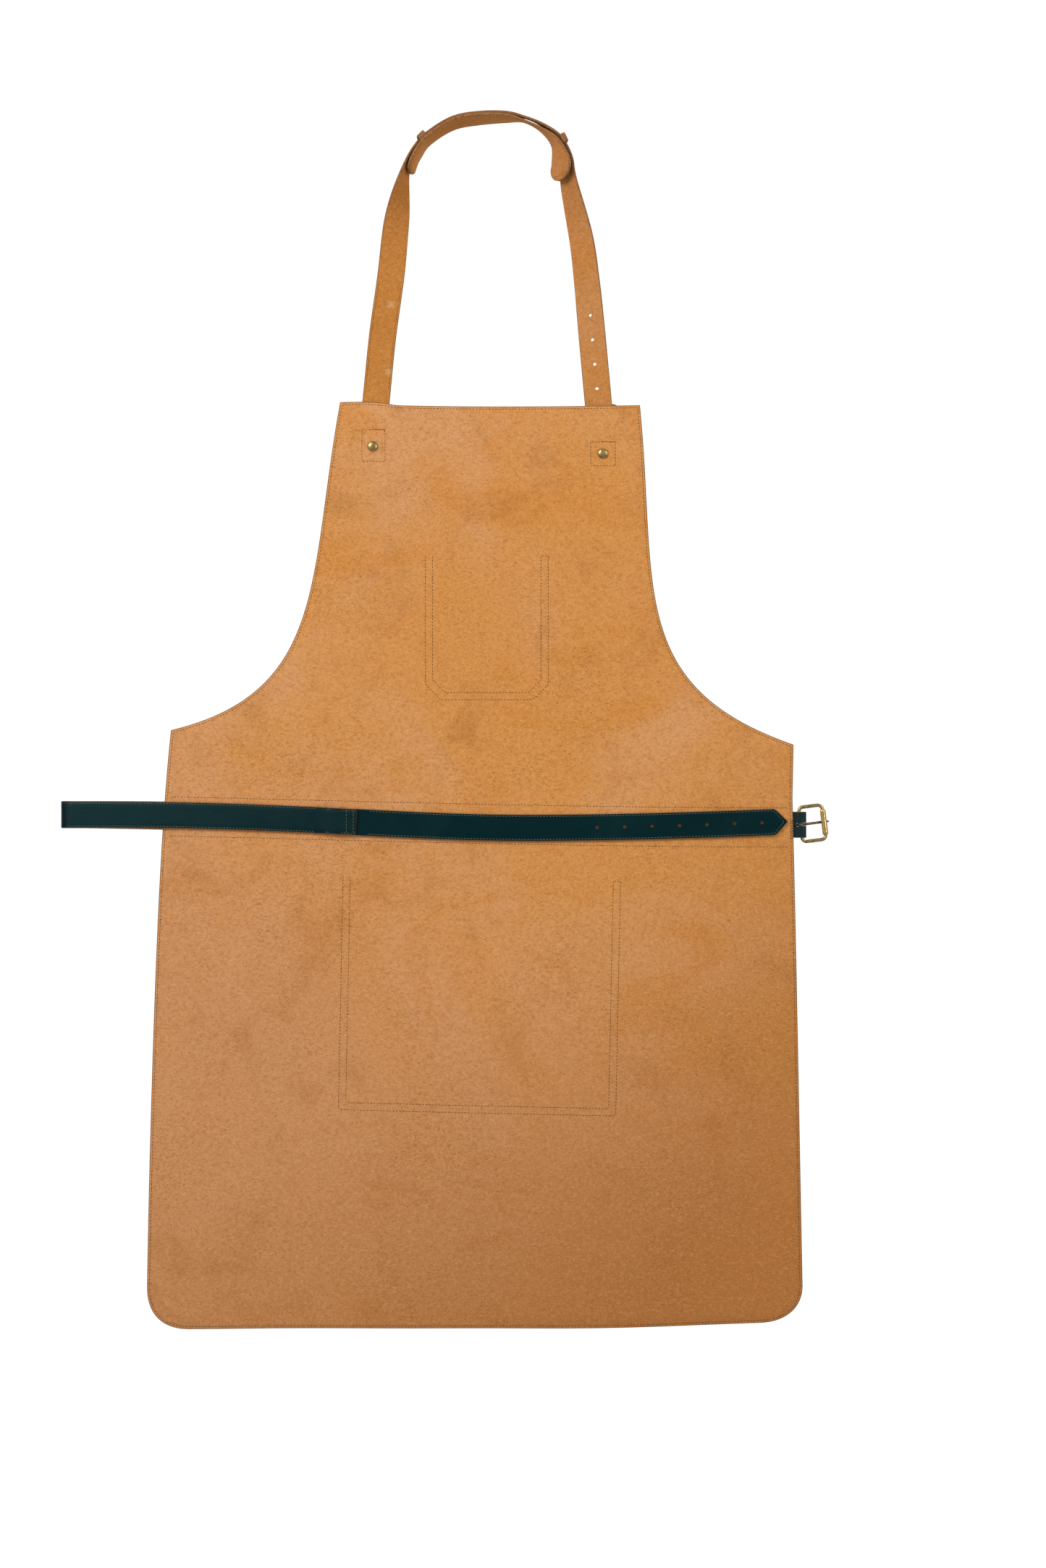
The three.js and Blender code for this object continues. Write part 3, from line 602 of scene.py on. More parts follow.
# ---- the hide
hide = {
    "thick": 0.0018,
    "cell": 0.009,
    "bibHalf": 0.1377,
    "bibLeft": -0.2600,
    "bibRight": -0.2627,
    "armLeft": ((-0.1674, -0.4209), (-0.1480, -0.5263)),
    "armRight": ((0.1234, -0.5208), (0.1544, -0.4279)),
    "waistLeft": (-0.2930, -0.5613),
    "waistRight": (0.2788, -0.5746),
    "swellLeft": (-0.3085, -0.700),
    "swellRight": (0.2803, -0.7046),
    "hemLeft": -0.3145,
    "hemRight": 0.2873,
    "hem": -1.1110,
    "hemRise": 0.0045,
    "corner": 0.038,
    "round": 0.014,
    "seamIn": 0.0024,
    "wave": 0.0042,  # how far the hem swings in and out
}


def hideOutline():  # from the bib's left corner down, along the hem and up the right side
    h = hide
    half, hem, corner, pull = h["bibHalf"], h["hem"], h["corner"], h["round"]
    left, far, rise = h["hemLeft"], h["hemRight"], h["hemRise"]
    topLeft, topRight = (-half, h["bibLeft"]), (half, h["bibRight"])
    leftUp, leftIn = (left, hem + corner), (left + corner, hem)
    rightIn, rightUp = (far - corner, hem + rise), (far, hem + rise + corner)
    waistX, waistZ = h["waistRight"]
    step = (-half + 0.050, h["bibRight"])
    line = bezier(topLeft, *h["armLeft"], h["waistLeft"], 60)
    line += quadratic(h["waistLeft"], h["swellLeft"], leftUp, 60)[1:]
    line += bezier(leftUp, (left, hem + pull), (left + pull, hem), leftIn, 16)[1:]
    line += quadratic(leftIn, (0.06, hem - 0.002), rightIn, 60)[1:]
    line += bezier(rightIn, (far - pull, hem + rise + 0.001), (far + 0.002, hem + 0.020), rightUp, 16)[1:]
    line += quadratic(rightUp, h["swellRight"], (waistX - 0.001, waistZ - 0.050), 50)[1:]
    line += [h["waistRight"]]
    line += bezier(h["waistRight"], *h["armRight"], topRight, 60)[1:]
    line += quadratic(topRight, (0, h["bibRight"] - 0.0025), step, 30)[1:]
    line += quadratic(step, (-half + 0.035, h["bibLeft"] + 0.0015), topLeft, 12)[1:-1]
    return line


def corners(loop, sharp=0.5):  # keeps sharp corners when a loop is cut into even steps
    found = []
    points = [np.array(p, float) for p in loop]
    for i, point in enumerate(points):
        d0, d1 = point - points[i - 1], points[(i + 1) % len(points)] - point
        turn = abs(math.atan2(d0[0] * d1[1] - d0[1] * d1[0], d0 @ d1))
        if turn > sharp:
            found.append(i)
    return found


def stepped(loop, pitch):
    marks = corners(loop)
    if not marks:
        return evenly(loop, pitch, closed=True)
    found = []
    for a, b in zip(marks, marks[1:] + [marks[0] + len(loop)]):
        part = [loop[k % len(loop)] for k in range(a, b + 1)]
        found += evenly(part, pitch)[:-1]
    return found


def lie(x, z):  # the hide's slow waves, still at the belt, the straps and the pockets' seams
    hemward = ease((-0.70 - z) / 0.35)
    chest = ease((z + 0.56) / 0.12) * ease((-0.30 - z) / 0.08)
    low = math.sin(x * 15.5 + z * 3.2 + 0.6) * 0.75 + math.sin(x * 31 - z * 5 + 2.0) * 0.25
    high = math.sin(x * 19 + z * 9)
    return hide["wave"] * (low * hemward + 0.22 * high * chest)


outline = [tuple(p) for p in stepped(hideOutline(), 0.004)]
apronHide = addHide("apron_hide", outline, hide["thick"], hide["cell"], lie)
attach(apronHide, "apron")
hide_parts("body_panel")
cutArea = abs(signedArea(outline))
hideBack, hideFront = -hide["thick"] / 2, hide["thick"] / 2


def onBack(line):  # a seam on the wearer's side
    return [((x, lie(x, z) + hideBack, z), (0, -1, 0)) for x, z in line]


def onFace(line, y):  # a seam on the front, y above the hide's middle
    return [((x, lie(x, z) + y, z), (0, 1, 0)) for x, z in line]


rim = inset(stepped(hideOutline(), 0.0015), hide["seamIn"])
rim = [tuple(p) for p in rim] + [tuple(rim[0])]
print("hide cut")


# ---- patch pockets
pockets = {
    "chest_pocket": {
        "width": 0.118, "height": 0.135, "x": -0.003, "top": -0.401, "chamfer": 0.015, "turn": 0.0,
    },
    "lower_pocket": {
        "width": 0.260, "height": 0.218, "x": -0.0075, "top": -0.6975, "chamfer": 0.0, "turn": -1.2,
    },
}
patch = {"thick": 0.0016, "off": 0.0012, "room": 0.0048, "rows": (0.0026, 0.0092)}


def pocketLine(p, depth):  # down the left side, along the bottom, up the right side
    half, low = p["width"] / 2 - depth, -p["height"] + depth
    cut = max(p["chamfer"] - depth * 0.4, 0)
    line = [(-half, 0.0)]
    line += [(-half, low + cut), (-half + cut, low)] if cut else [(-half, low)]
    line += [(half - cut, low), (half, low + cut)] if cut else [(half, low)]
    line.append((half, 0.0))
    turn = math.radians(p["turn"])
    cos, sin = math.cos(turn), math.sin(turn)
    return [(p["x"] + x * cos - z * sin, p["top"] + x * sin + z * cos) for x, z in line]


def addPocket(name, p):
    turn = math.radians(-p["turn"])
    cos, sin = math.cos(turn), math.sin(turn)

    def yAt(x, z):
        dx, dz = x - p["x"], z - p["top"]
        aside, down = abs(dx * cos - dz * sin), -(dx * sin + dz * cos)
        fromSide, fromFoot = p["width"] / 2 - aside, p["height"] - down
        depth = min(fromSide, fromFoot)
        if p["chamfer"]:
            depth = min(depth, (fromSide + fromFoot - p["chamfer"]) * 0.707)
        rise = ease((depth - patch["rows"][1] - 0.0006) / 0.013)
        sag = 1 - 0.25 * ease(1 - down / 0.05) * (1 - aside / p["width"] * 2)
        return lie(x, z) + patch["off"] + patch["thick"] / 2 + patch["room"] * rise * sag

    line = []
    shape = pocketLine(p, 0)
    for a, b in zip(shape, shape[1:] + shape[:1]):
        line += [tuple(q) for q in evenly([a, b], 0.004)[:-1]]
    piece = addHide(name + "_patch", line, patch["thick"], 0.0055, yAt)
    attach(piece, "apron")
    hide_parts(name)
    box = (p["width"], p["height"])
    area = min(abs(signedArea(line)), box[0] * box[1])


def pocketRows(p):
    rows = [evenly(pocketLine(p, depth), 0.0015) for depth in patch["rows"]]
    outer, inner = pocketLine(p, patch["rows"][0]), pocketLine(p, patch["rows"][1])
    rows.append(evenly([outer[-1], inner[-1]], 0.0015))
    return [[tuple(q) for q in row] for row in rows]


for name, p in pockets.items():
    addPocket(name, p)
print("pockets sewn on")


# ---- belt and its channel
belt = {
    "width": 0.025,
    "thick": 0.0026,
    "foldX": -0.388,
    "foldR": 0.0046,
    "foldZ": -0.6389,
    "drop": 0.0118,  # from the fold to the buckle
    "sag": 0.0126,
    "buckleX": 0.2855,
    "lapX": -0.1225,
    "lapLong": 0.016,
    "tipX": 0.273,
    "tipLong": 0.0125,
    "nearFold": -0.330,
    "hole": 0.0015,
    "holeFirst": 0.0984,
    "holePitch": 0.0252,
    "holes": 7,
    "seamIn": 0.0020,
    "stitch": 0.0029,
    "lapRows": (-0.1317, -0.1253),
}
channel = {
    "width": 0.041,
    "rows": 0.0180,
    "from": -0.2965,
    "to": 0.2768,
    "thick": 0.0016,
    "rim": 0.004,
    "flat": 0.0142,
    "room": 0.0049,
}
beltFrontY, beltBackY = 0.0028, -0.0027


def channelZ(x):
    t = min(max((x - belt["foldX"]) / (belt["buckleX"] - belt["foldX"]), 0), 1)
    return belt["foldZ"] - belt["drop"] * math.sin(math.pi / 2 * t) ** 1.3


def beltBackZ(x):
    t = (x - belt["foldX"]) / (belt["tipX"] - belt["foldX"])
    return belt["foldZ"] - belt["sag"] * math.sin(math.pi * min(t * 0.82, 1)) * ease(t * 1.5) + 0.0004 * t


def spreadY(x, close, wide):
    return close + (wide - close) * ease((belt["nearFold"] - x) / (belt["nearFold"] - belt["foldX"]))


def channelRing():  # (across, forward, tag) round the band's section, domed over the belt
    half, off, room, flat = channel["width"] / 2, patch["off"], channel["room"], channel["flat"]
    foot = -half + channel["rim"]
    under = [(-half, off), (foot, off)]
    under += [(foot + (-flat - foot) * t, off + (room - off) * ease(t)) for t in (0.25, 0.5, 0.75, 1)]
    under += [(-flat * 0.4, room + 0.0003), (flat * 0.4, room + 0.0003)]
    under += [(-u, y) for u, y in reversed(under[:6])]
    return [(u, y, 0) for u, y in under] + [(u, y + channel["thick"], 1) for u, y in reversed(under)]


def addChannel():
    ring, half = channelRing(), channel["width"] / 2
    count, flats = len(ring), len(ring) // 2
    stations = spread(channel["from"], channel["to"], 120)
    points = []
    for x in stations:
        pucker = 0.00022 * math.sin(x * 260) * math.sin(x * 47)
        points += [(x, y + pucker * (1 - abs(u) / half), channelZ(x) + u) for u, y, _ in ring]
    faces = walls(len(stations), count)
    marks = [2 if k in (flats - 1, count - 1) else ring[k][2] for k in range(count)]
    tags = marks * (len(stations) - 1)
    for base in (0, len(points) - count):
        for k in range(flats - 1):
            faces.append((base + k, base + k + 1, base + count - 2 - k, base + count - 1 - k))
            tags.append(2)
    piece = addMesh("belt_channel_band", points, faces, [bodySuede, bodyGreen, cutEdge], tags)
    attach(piece, "apron")
    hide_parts("belt_channel")


addChannel()


def frontY(x):
    return spreadY(x, beltFrontY, belt["foldR"])


def lapY(x):  # the long piece's end lies over the tip piece
    return spreadY(x, beltBackY, -belt["foldR"]) - 0.0018 * ease((x - belt["lapX"] + 0.034) / 0.016)


def tipY(x):
    return beltBackY + 0.0008 * ease((belt["lapX"] + 0.006 - x) / 0.010)


def tipZ(x):
    return beltBackZ(x) + 0.0008 * ease((belt["lapX"] - x) / 0.02)


def seamAlong(rows, u, lift):  # a seam at u from the middle of a strap, on its grain side
    return [(tuple(at + side * u + out * lift), tuple(out)) for at, side, out, _ in rows]


def beltRows(line, yAt, zAt):
    return across([Vector((x, yAt(x), zAt(x))) for x in line], up)


def addBelt():
    leathers = [edgeTan, beltGreen, cutEdge]
    width, thick, foldX, foldR = belt["width"], belt["thick"], belt["foldX"], belt["foldR"]
    nearest = foldX + 0.0002
    frontLine = spread(0.2490, belt["nearFold"], 60) + spread(belt["nearFold"], nearest, 14)[1:]
    run = addStrap("belt_front_leather", beltRows(frontLine, frontY, channelZ), leathers, thick, width)
    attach(run, "apron")
    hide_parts("belt_front_run")

    turn = [Vector((foldX + foldR * math.cos(a), foldR * math.sin(a), belt["foldZ"]))
            for a in spread(math.pi / 2, math.pi * 1.5, 24)]
    fold = addStrap("belt_fold_leather", across(turn, up), leathers, thick, width)
    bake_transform(fold)
    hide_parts("belt_fold")

    backLine = spread(nearest, belt["nearFold"], 14) + spread(belt["nearFold"], belt["lapX"], 60)[1:]
    backRows = beltRows(backLine, lapY, beltBackZ)
    back = addStrap("belt_back_leather", backRows, [edgeTan, scuffAndSheenGreen, edgeTan], thick, width, 0.0001)
    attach(back, "belt_end")
    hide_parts("belt_back_strap")

    shoulder, tipLong = belt["tipX"] - belt["tipLong"], belt["tipLong"]
    tipLine = spread(belt["lapX"] - belt["lapLong"], shoulder, 90)
    tipLine += [belt["tipX"] - tipLong * (1 - t) for t in (0.2, 0.4, 0.6, 0.8, 0.92, 1.0)]

    def taper(i):
        t = (tipLine[i] - belt["tipX"] + tipLong) / tipLong
        return width if t <= 0 else width * (1 - t) + 0.0022 * math.sqrt(max(1 - t * t * 0.8, 0.05))

    tipRows = beltRows(tipLine, tipY, tipZ)
    tip = addStrap("belt_tip_leather", tipRows, leathers, thick * 0.9, taper, 0.0001)
    centres = [belt["holeFirst"] + belt["holePitch"] * k for k in range(belt["holes"])]
    punchHoles(tip, [(Vector((x, beltBackY, beltBackZ(x))), front) for x in centres], belt["hole"])
    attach(tip, "belt_end")
    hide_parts("belt_tip_strap")

    seam, pitch = width / 2 - belt["seamIn"], belt["stitch"]
    runs = [seamAlong(backRows, u, thick / 2) for u in (seam, -seam)]
    for x in belt["lapRows"]:
        z, y = beltBackZ(x), lapY(x) - thick / 2
        runs.append([((x, y, z - seam), (0, -1, 0)), ((x, y, z + seam), (0, -1, 0))])
    addStitches("belt_back_stitches", runs, beigeThread, "belt_end", pitch)

    shown = [row for x, row in zip(tipLine, tipRows) if belt["lapX"] + 0.001 < x <= shoulder + 0.0002]
    nose = (belt["tipX"] - belt["seamIn"] * 1.7, beltBackY - thick * 0.46, beltBackZ(belt["tipX"]))
    runs = [seamAlong(shown, u, thick * 0.46) + [(nose, (0, -1, 0))] for u in (seam, -seam)]
    addStitches("belt_tip_stitches", runs, beigeThread, "belt_end", pitch)

    outside = beltRows([x for x in frontLine if x < channel["from"] - 0.002], frontY, channelZ)
    runs = [seamAlong(outside, u, thick / 2) for u in (seam, -seam)]
    addStitches("belt_front_stitches", runs, beigeThread, "apron", pitch)
    addHoleRims(centres)


def addHoleRims(centres):  # the leather is worn pale round each hole
    parts, sides = [], 20
    face = beltBackY - belt["thick"] * 0.45 - 0.00012
    for x in centres:
        points = []
        for share, y in ((0.98, 0.0002), (1.0, 0.00004), (1.38, 0.00002)):
            points += circle(Vector((x, face + y, beltBackZ(x))), right, up, belt["hole"] * share, sides)
        parts.append((points, walls(3, sides)))
    piece = addMesh("belt_hole_rims", *joined(parts), [edgeTan], closed=False)
    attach(piece, "belt_end")


addBelt()
print("belt laid")


# ---- brass
brass = {
    "wire": 0.00165,
    "reach": 0.0218,
    "span": 0.0319,
    "corner": 0.004,
    "roller": 0.0027,
    "rollerLong": 0.023,
    "prong": 0.0012,
    "eye": 0.0015,
    "run": 0.00025,
    "bevel": 0.0003,
    "waist": ((0.2855, 0.0029, -0.6483), 7, 0),
    "neck": ((0.1025, 0.0048, -0.2847), 4, 5.5),
}


def buckleAxes(place, tilt, lean, along):
    turn, tip = math.radians(tilt), math.radians(lean)
    pull = Matrix.Rotation(-turn, 3, "Y") @ along
    reach = (pull * math.cos(tip) + front * math.sin(tip)).normalized()
    side = front.cross(reach).normalized()
    return Vector(place), reach, side, reach.cross(side).normalized()


def tube(line, radius, around, closed=False, sides=14):
    points = []
    count = len(line)
    for i, at in enumerate(line):
        before = line[i - 1] if closed or i else line[i]
        after = line[(i + 1) % count] if closed or i < count - 1 else line[i]
        along = (after - before).normalized()
        u = (around - along * around.dot(along)).normalized()
        r = radius(i) if callable(radius) else radius
        points += circle(at, u, along.cross(u), r, sides)
    return points, walls(count, sides, closed=closed) + ([] if closed else caps(count, sides))


def lathe(profile, sides):  # profile of (radius, height) turned round the second axis
    points = []
    for r, h in profile:
        points += circle(Vector((0, h, 0)), right, up, r, sides)
    return points, walls(len(profile), sides)


def addBuckle(kind, frameBody, rollerBody, prongBody):
    b = brass
    place, reach, side, upright = buckleAxes(*b[kind], right if kind == "waist" else up)
    far, bevel, inner = b["reach"], b["bevel"], b["wire"] + b["run"]

    def at(u, w, h):
        return place + reach * u + side * w + upright * h

    half, c = b["span"] / 2, b["corner"]
    bends = ((c, half - c, 90), (c, -half + c, 180), (far - c, -half + c, 270), (far - c, half - c, 0))
    loopLine = [at(u + c * math.cos(a), w + c * math.sin(a), 0) for u, w, start in bends
                for a in (math.radians(start + 90 * k / 8) for k in range(9))]
    if kind == "waist":
        loopLine.reverse()
    wire = [Vector(p) for p in evenly([tuple(p) for p in loopLine], 0.0016, closed=True)]
    points, faces = tube(wire, b["wire"], upright, closed=True, sides=18)
    ring = addMesh(kind + "_buckle_ring", points, faces, [agedBrass])

    outer, half = b["roller"], b["rollerLong"] / 2
    profile = [(inner, -half), (outer - bevel, -half), (outer, -half + bevel)]
    profile += [(outer, h) for h in spread(-half + 0.002, half - 0.002, 6)]
    profile += [(outer, half - bevel), (outer - bevel, half), (inner, half), (inner, -half)]
    points, faces = lathe(profile, 48)
    roller = addMesh(kind + "_roller_tube", [at(far + p.x, p.y, p.z) for p in points], faces, [rolledBrass])
    skin = outer + 0.00004
    seam = [at(far + skin * math.cos(a), h, skin * math.sin(a))  # the rolled sheet's butt seam
            for a in (math.radians(-96), math.radians(-84)) for h in (-half + 0.0006, half - 0.0006)]
    strip = addMesh(kind + "_roller_seam", seam, [(0, 1, 3, 2)], [darkBrass], closed=False)

    eye, r = inner + b["eye"], b["prong"]
    rise = outer + r + 0.0003
    profile = [(inner, -r), (eye - bevel, -r), (eye, -r + bevel), (eye, r - bevel), (eye - bevel, r),
               (inner, r), (inner, -r)]
    points, faces = lathe(profile, 32)
    knots = [(eye - 0.0007, 0.0), (eye + 0.0023, 0.0004), (far * 0.55, 0.0022), (far - 0.0025, rise),
             (far + 0.0015, rise), (far + 0.0045, rise - 0.0016)]
    line = [at(u, 0, h) for u, h in smoothLine(knots, 36)]

    def thinner(i):
        return r * (1 - 0.32 * ease((i - 26) / 10))

    parts = [([at(*p) for p in points], faces), tube(line, thinner, side, sides=16)]
    pin = addMesh(kind + "_prong_pin", *joined(parts), [darkBrass])

    for piece, body, node in ((ring, frameBody, "_buckle_frame"), (roller, rollerBody, "_buckle_roller"),
                              (strip, rollerBody, None), (pin, prongBody, "_buckle_prong")):
        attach(piece, body)
        if node:
            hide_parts(kind + node)


def smoothLine(knots, steps):  # Catmull-Rom through a list of points
    knots = [np.array(k, float) for k in knots]
    found = []
    for t in spread(0, len(knots) - 1, steps):
        i = min(int(t), len(knots) - 2)
        f = t - i
        p1, p2 = knots[i], knots[i + 1]
        p0 = knots[i - 1] if i else 2 * p1 - p2
        p3 = knots[i + 2] if i + 2 < len(knots) else 2 * p2 - p1
        found.append(0.5 * (2 * p1 + (p2 - p0) * f + (2 * p0 - 5 * p1 + 4 * p2 - p3) * f * f
                            + (3 * p1 - p0 - 3 * p2 + p3) * f ** 3))
    return found


addBuckle("waist", "waist_buckle", "waist_roller", "waist_prong")
addBuckle("neck", "apron", "neck_roller", "apron")

rivets = {"left": (-0.1077, -0.3006, 0.0041), "right": (0.1037, -0.3072, 0.0050)}
dome = {"radius": 0.0046, "high": 0.0022, "rim": 0.0006, "round": 0.0003, "post": 0.0014, "sides": 40}


def addRivet(name, x, z, face):
    r, rim, corner, sides = dome["radius"], dome["rim"], dome["round"], dome["sides"]
    profile = [(0.00001, 0.0), (r - corner, 0.0), (r, corner), (r, rim)]
    for a in spread(0.12, math.pi / 2 - 0.01, 9):
        profile.append((r * math.cos(a), rim + (dome["high"] - rim) * math.sin(a)))
    shape, faces = lathe(profile, sides)
    faces += caps(len(profile), sides)
    ends = [Vector((x, hideBack - 0.001, z)), Vector((x, face + 0.0003, z))]
    for kind, y, way in (("cap", hideBack - 0.0003, -1), ("post", face, 1)):
        parts = [([Vector((x + p.x, y + way * p.y, z + p.z)) for p in shape], faces)]
        if kind == "post":
            parts.append(tube(ends, dome["post"], right))
        piece = addMesh(name + "_rivet_" + kind + "_dome", *joined(parts), [agedBrass])
        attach(piece, "apron")
        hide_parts(name + "_rivet_" + kind)


for name, (x, z, face) in rivets.items():
    addRivet(name, x, z, face)
print("brass made")


# ---- chapes and keepers
chapes = {
    "width": 0.024,
    "thick": 0.0016,
    "off": 0.0012,
    "clear": 0.00035,  # round the wire
    "slotClear": 0.00025,
}


def addChape(name, line, side, axes, low, high):
    width, half = chapes["width"], brass["prong"] + chapes["slotClear"]
    leathers = [edgeTan, bodyGreen, cutEdge]
    piece = addStrap(name, across(line, side), leathers, chapes["thick"], width)
    punchSlot(piece, axes, (low[0], -half, low[1]), (high[0], half, high[1]))
    return piece


def addWaistChape():
    t = chapes["thick"]
    (bx, by, bz), _, _ = brass["waist"]
    foldR = brass["wire"] + chapes["clear"] + t / 2
    foldX, legX, legY, mouth = bx + 0.00176, bx - 0.034, t / 2 + 0.00015, bx - 0.0056

    def leg(way):
        return [Vector((x, by + way * (legY + (foldR - legY) * ease((x - mouth) / 0.004)), bz))
                for x in spread(legX, foldX, 40)]

    turn = [Vector((foldX + foldR * math.cos(a), by + foldR * math.sin(a), bz))
            for a in spread(-math.pi / 2, math.pi / 2, 16)]
    line = leg(-1)[:-1] + turn + leg(1)[::-1][1:]
    axes = buckleAxes(*brass["waist"], right)
    eye = brass["wire"] + brass["run"] + brass["eye"] + brass["bevel"]
    piece = addChape("waist_chape_fold", line, up, axes, (-eye, -0.012), (0.009, 0.012))
    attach(piece, "apron")
    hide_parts("waist_chape")


def addNeckChape():
    t = chapes["thick"]
    (bx, by, bz), _, _ = brass["neck"]
    foldR = brass["wire"] + chapes["clear"] + t / 2
    inner = chapes["off"] + t / 2
    outer = inner + t + 0.0003
    top, low = bz + 0.00114, rivets["right"][1] - 0.014
    innerLeg = [Vector((bx, inner, z)) for z in spread(low, top, 14)]
    spring = outer - inner - 2 * foldR
    outerLeg = [Vector((bx, inner + 2 * foldR + spring * ease((top - z) / 0.014), z))
                for z in spread(top, low, 24)]
    turn = [Vector((bx, by + foldR * math.sin(a), top + foldR * math.cos(a)))
            for a in spread(-math.pi / 2, math.pi / 2, 16)]
    line = innerLeg[:-1] + turn + outerLeg[1:]
    axes = buckleAxes(*brass["neck"], up)
    piece = addChape("neck_chape_fold", line, right, axes, (-0.0043, -0.0046), (0.013, 0.011))
    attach(piece, "apron")
    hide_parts("neck_chape")


addWaistChape()
addNeckChape()
print("chapes folded")


# ---- neck strap and pad
strap = {
    "width": 0.025,
    "thick": 0.0024,
    "y": 0.0025,
    "foldZ": -0.253,
    "leftEnd": -0.322,
    "rightEnd": -0.392,
    "point": 0.014,
    "hole": 0.0015,
    "firstHole": -0.2471,
    "holePitch": 0.0225,
    "seamIn": 0.0021,
    "stitch": 0.00021,
    "clear": 0.0013,
    "joinZ": -0.2515,
    "keeper": 0.0012,
    "keeperLong": 0.008,
    "route": [  # across, up and roll, in millimetres and degrees
        (-104.0, -250, 0), (-98.7, -198, 4), (-91.0, -142, 12), (-85.9, -94, 28), (-77.5, -46, 80),
        (-66.5, -24, 88), (-53, -11, 90), (-33.5, 0, 90), (-11.3, 4.2, 90), (14.6, 5.2, 94),
        (32, 2.6, 102), (49.5, -5.2, 98), (63.5, -17.5, 86), (70.2, -36, 68), (72.5, -58, 56),
        (84, -110, 32), (89.4, -152, 22), (92.3, -182, 14), (98.6, -250, 0),
    ],
}


def leftX(z):
    return -0.1043 + (z - strap["foldZ"]) * 0.1


def rightX(z):
    return 0.0989 - (z - strap["foldZ"]) * 0.09


def tailY(z):  # out over the buckle's bar and the rivet, then back to the hide
    t, gap, (_, _, barZ) = chapes["thick"], 0.0003, brass["neck"][0]
    _, rivetZ, face = rivets["right"]
    overBar = chapes["off"] + 2 * t + 2 * (brass["wire"] + chapes["clear"]) + gap + strap["clear"]
    overRivet = face + dome["high"] + gap + strap["clear"]
    behind, barTop = barZ + brass["reach"] - 0.003, barZ + brass["wire"] + t + chapes["clear"]
    rivetTop, rivetLow = rivetZ + 0.008, rivetZ - 0.006
    if z > barTop:
        return strap["y"] + (overBar - strap["y"]) * ease((behind - z) / (behind - barTop))
    if z > rivetTop:
        return overBar + (overRivet - overBar) * ease((barTop - z) / (barTop - rivetTop))
    if z > rivetLow:
        return overRivet
    return overRivet - (overRivet - strap["y"] - 0.002) * ease((rivetLow - z) / 0.060)


def loopRows():  # the strap above the bib, rolling from flat at the bib to edge-on at the neck
    route = [(x * mm, strap["y"], z * mm, roll) for x, z, roll in strap["route"]]
    line = smoothLine(route, 260)
    rows = []
    for i, knot in enumerate(line):
        before, after = line[max(i - 1, 0)], line[min(i + 1, len(line) - 1)]
        along = Vector((after - before)[:3]).normalized()
        roll = math.radians(knot[3])
        out = (front * math.cos(roll) + along.cross(front) * math.sin(roll)).normalized()
        rows.append((Vector(knot[:3]), along.cross(out).normalized(), out, along))
    return rows


loop = loopRows()


def uprightRows(places):  # rows whose grain side faces the front
    rows = []
    for i, at in enumerate(places):
        along = (places[min(i + 1, len(places) - 1)] - places[max(i - 1, 0)]).normalized()
        out = (front - along * along.dot(front)).normalized()
        rows.append((at, along.cross(out).normalized(), out, along))
    return rows


def addNeckStrap():
    t, w = strap["thick"], strap["width"]
    anchor = [Vector((leftX(z), strap["y"], z)) for z in spread(strap["leftEnd"], strap["joinZ"], 30)]
    tailStart = strap["rightEnd"] + strap["point"]
    tailZ = spread(strap["joinZ"], tailStart, 60)
    tailZ += [tailStart - strap["point"] * s for s in (0.2, 0.4, 0.6, 0.78, 0.92, 1.0)]
    tail = [Vector((rightX(z), tailY(z), z)) for z in tailZ]
    anchorRows, tailRows = uprightRows(anchor), uprightRows(tail)
    rows = anchorRows + loop + tailRows
    pointFrom = len(rows) - 7

    def widthAt(i):
        if i <= pointFrom:
            return w
        s = (i - pointFrom) / 6
        return w * (math.sqrt(max(1 - s * s, 0)) * 0.5 + (1 - s) * 0.5) + 0.0015

    piece = addStrap("neck_strap_leather", rows, [strapSuede, bodyGreen, edgeTan], t, widthAt, 0.0001)
    holes = []
    for k in range(4):
        z = strap["firstHole"] + k * strap["holePitch"]
        at, _, out, along = min((r for r in loop if r[0].x > 0), key=lambda r: abs(r[0].z - z))
        holes.append((at + along * ((z - at.z) / along.z), out))
    for k in (1, 2, 3):
        z = rivets["right"][1] + 0.002 - k * strap["holePitch"]
        holes.append((Vector((rightX(z), tailY(z), z)), front))
    punchHoles(piece, holes, strap["hole"])
    pinX, _, pinZ = brass["neck"][0]
    slit = 0.0021
    axes = (Vector((pinX, 0, pinZ)), right, front, up)
    punchSlot(piece, axes, (-slit, -0.004, 0.0048), (slit, 0.020, 0.0138))
    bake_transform(piece)
    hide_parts("neck_strap", "left_strap_anchor", "left_strap_bend", "right_strap_bend",
                "neck_strap_tail")
    total = sum((b[0] - a[0]).length for a, b in zip(rows, rows[1:]))
    w * total * 0.99

    def seams(chosen, way):
        return [[(tuple(at + u * sign * (w / 2 - strap["seamIn"]) + out * (t / 2 * way)), tuple(out * way))
                 for at, u, out, _ in chosen] for sign in (-1, 1)]

    above = [r for r in loop if r[0].z > -0.248]
    anchored = [r for r in anchorRows if r[0].z < -0.258]
    hanging = [r for r in tailRows[:-5] if r[0].z < -0.262]
    for name, chosen, way, thread, body in (
            ("loop_back_stitches", above, -1, darkThread, "neck_loop"),
            ("loop_face_stitches", above, 1, beigeThread, "neck_loop"),
            ("anchor_face_stitches", anchored, 1, beigeThread, "apron"),
            ("tail_face_stitches", hanging, 1, beigeThread, "apron")):
        addStitches(name, seams(chosen, way), thread, body, radius=strap["stitch"])


addNeckStrap()


